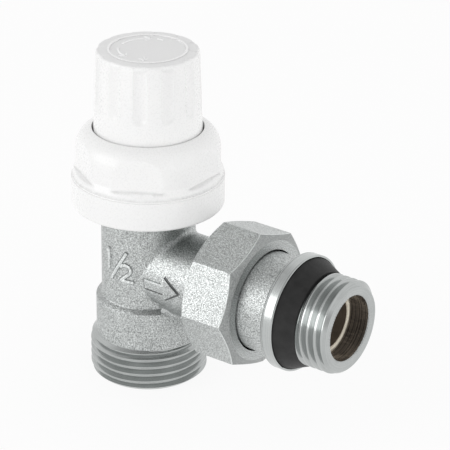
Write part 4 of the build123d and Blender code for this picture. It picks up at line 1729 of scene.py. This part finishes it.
@dataclass
class Studio:
    """A pale floor, a soft tent of light, two lamps and the camera."""

    floor_half: float = 3.0
    floor_tone: float = 0.92
    floor_glow: float = 0.90
    side_tone: float = 0.97
    overhead_tone: float = 0.46
    overhead_span: tuple[float, float] = (0.66, 1.0)
    opening_tone: float = 0.26
    opening_span: tuple[float, float] = (0.82, 0.97)
    opening_heading: tuple[float, float, float] = (0.55, -0.70, 0.455)
    left_lamp: Softbox = Softbox("left_softbox", (-0.42, -0.66, 0.31), width=0.62, height=0.52, power=1.82)
    front_lamp: Softbox = Softbox(
        "front_fill", (0.72, -0.30, 0.12), width=0.50, height=0.30, power=1.6, mirrored=False
    )
    target: tuple[float, float, float] = (19.58 * MM, 2.25 * MM, 39.90 * MM)
    azimuth: float = 36.29
    elevation: float = 25.08
    roll: float = 0.608
    distance: float = 504.0 * MM
    focal_length: float = 184.094
    sensor: float = 36.0
    near_clip: float = 0.01

    def build(self) -> None:
        """Sets up the floor, the light and the camera."""
        self.lay_floor()
        self.hang_tent()
        for lamp in (self.left_lamp, self.front_lamp):
            lamp.hang(self.target)
        self.place_camera()
        bpy.context.scene.view_settings.view_transform = "Standard"

    def lay_floor(self) -> None:
        """Lays the floor that the inlet stands on."""
        mesh = bpy.data.meshes.new("floor")
        half = self.floor_half
        corners = [(-half, -half, 0), (half, -half, 0), (half, half, 0), (-half, half, 0)]
        mesh.from_pydata(corners, [], [(0, 1, 2, 3)])
        material = bpy.data.materials.new("floor_white")
        material.use_nodes = True
        material.node_tree.nodes.clear()
        board = NodeBoard(material.node_tree)
        paper = board.add("ShaderNodeBsdfDiffuse", {"Color": grey(self.floor_tone)})
        light = board.add("ShaderNodeEmission", {"Color": grey(1.0), "Strength": 1.0})
        path = board.add("ShaderNodeLightPath").outputs
        seen = board.math("MAXIMUM", path["Is Camera Ray"], path["Is Glossy Ray"])
        seen = board.math("MAXIMUM", seen, path["Is Transmission Ray"])
        share = board.math("MULTIPLY", seen, self.floor_glow)
        mix = board.add("ShaderNodeMixShader", {0: share, 1: paper.outputs[0], 2: light.outputs[0]})
        board.add("ShaderNodeOutputMaterial", {"Surface": mix.outputs[0]})
        mesh.materials.append(material)
        floor = bpy.data.objects.new("floor", mesh)
        bpy.context.scene.collection.objects.link(floor)

    def hang_tent(self) -> None:
        """Lights the world as a tent: white round the sides, grey overhead, dark where the camera looks in."""
        world = bpy.data.worlds.new("tent")
        bpy.context.scene.world = world
        world.use_nodes = True
        world.node_tree.nodes.clear()
        board = NodeBoard(world.node_tree)
        heading = board.add("ShaderNodeTexCoord").outputs["Generated"]
        rise = board.add("ShaderNodeSeparateXYZ", {0: heading}).outputs["Z"]
        overhead = board.span(rise, *self.overhead_span, ramp=Ramp.SOFT)
        colour = board.blend(overhead, grey(self.side_tone), grey(self.overhead_tone))
        towards = {0: heading, 1: self.opening_heading}
        nearness = board.add("ShaderNodeVectorMath", towards, operation="DOT_PRODUCT").outputs["Value"]
        opening = board.span(nearness, *self.opening_span, ramp=Ramp.SOFT)
        colour = board.blend(opening, colour, grey(self.opening_tone))
        back = board.add("ShaderNodeBackground", {"Color": colour, "Strength": 1.0})
        board.add("ShaderNodeOutputWorld", {"Surface": back.outputs[0]})

    def place_camera(self) -> None:
        """Places the camera at the photograph's viewpoint."""
        turn, lift = math.radians(self.azimuth), math.radians(self.elevation)
        back = Vector((math.sin(turn) * math.cos(lift), -math.cos(turn) * math.cos(lift), math.sin(lift)))
        level = Vector((math.cos(turn), math.sin(turn), 0.0))
        upright = back.cross(level)
        tilt = math.radians(self.roll)
        right = level * math.cos(tilt) + upright * math.sin(tilt)
        up = back.cross(right)
        lens = bpy.data.cameras.new("camera")
        lens.sensor_fit = "HORIZONTAL"
        lens.sensor_width = self.sensor
        lens.lens = self.focal_length
        lens.clip_start = self.near_clip
        camera = bpy.data.objects.new("camera", lens)
        bpy.context.scene.collection.objects.link(camera)
        turned = Matrix((right, up, back)).transposed().to_4x4()
        camera.matrix_world = Matrix.Translation(Vector(self.target) + back * self.distance) @ turned
        bpy.context.scene.camera = camera


def main() -> None:
    """Builds the studio and the valve's sub-assemblies in order."""
    logging.basicConfig(level=logging.INFO, format="%(name)s: %(message)s")
    groove, stroke, turning, flutes = ScrewGroove(), RaisedStroke(), TurnedCut(), FluteRing()
    Studio().build()
    ForgedBody().build(groove, stroke, turning)
    UnionJoint().build(groove, turning)
    HandCap().build(stroke, turning, flutes)
    ValveInsert().build()


if __name__ == "__main__":
    main()
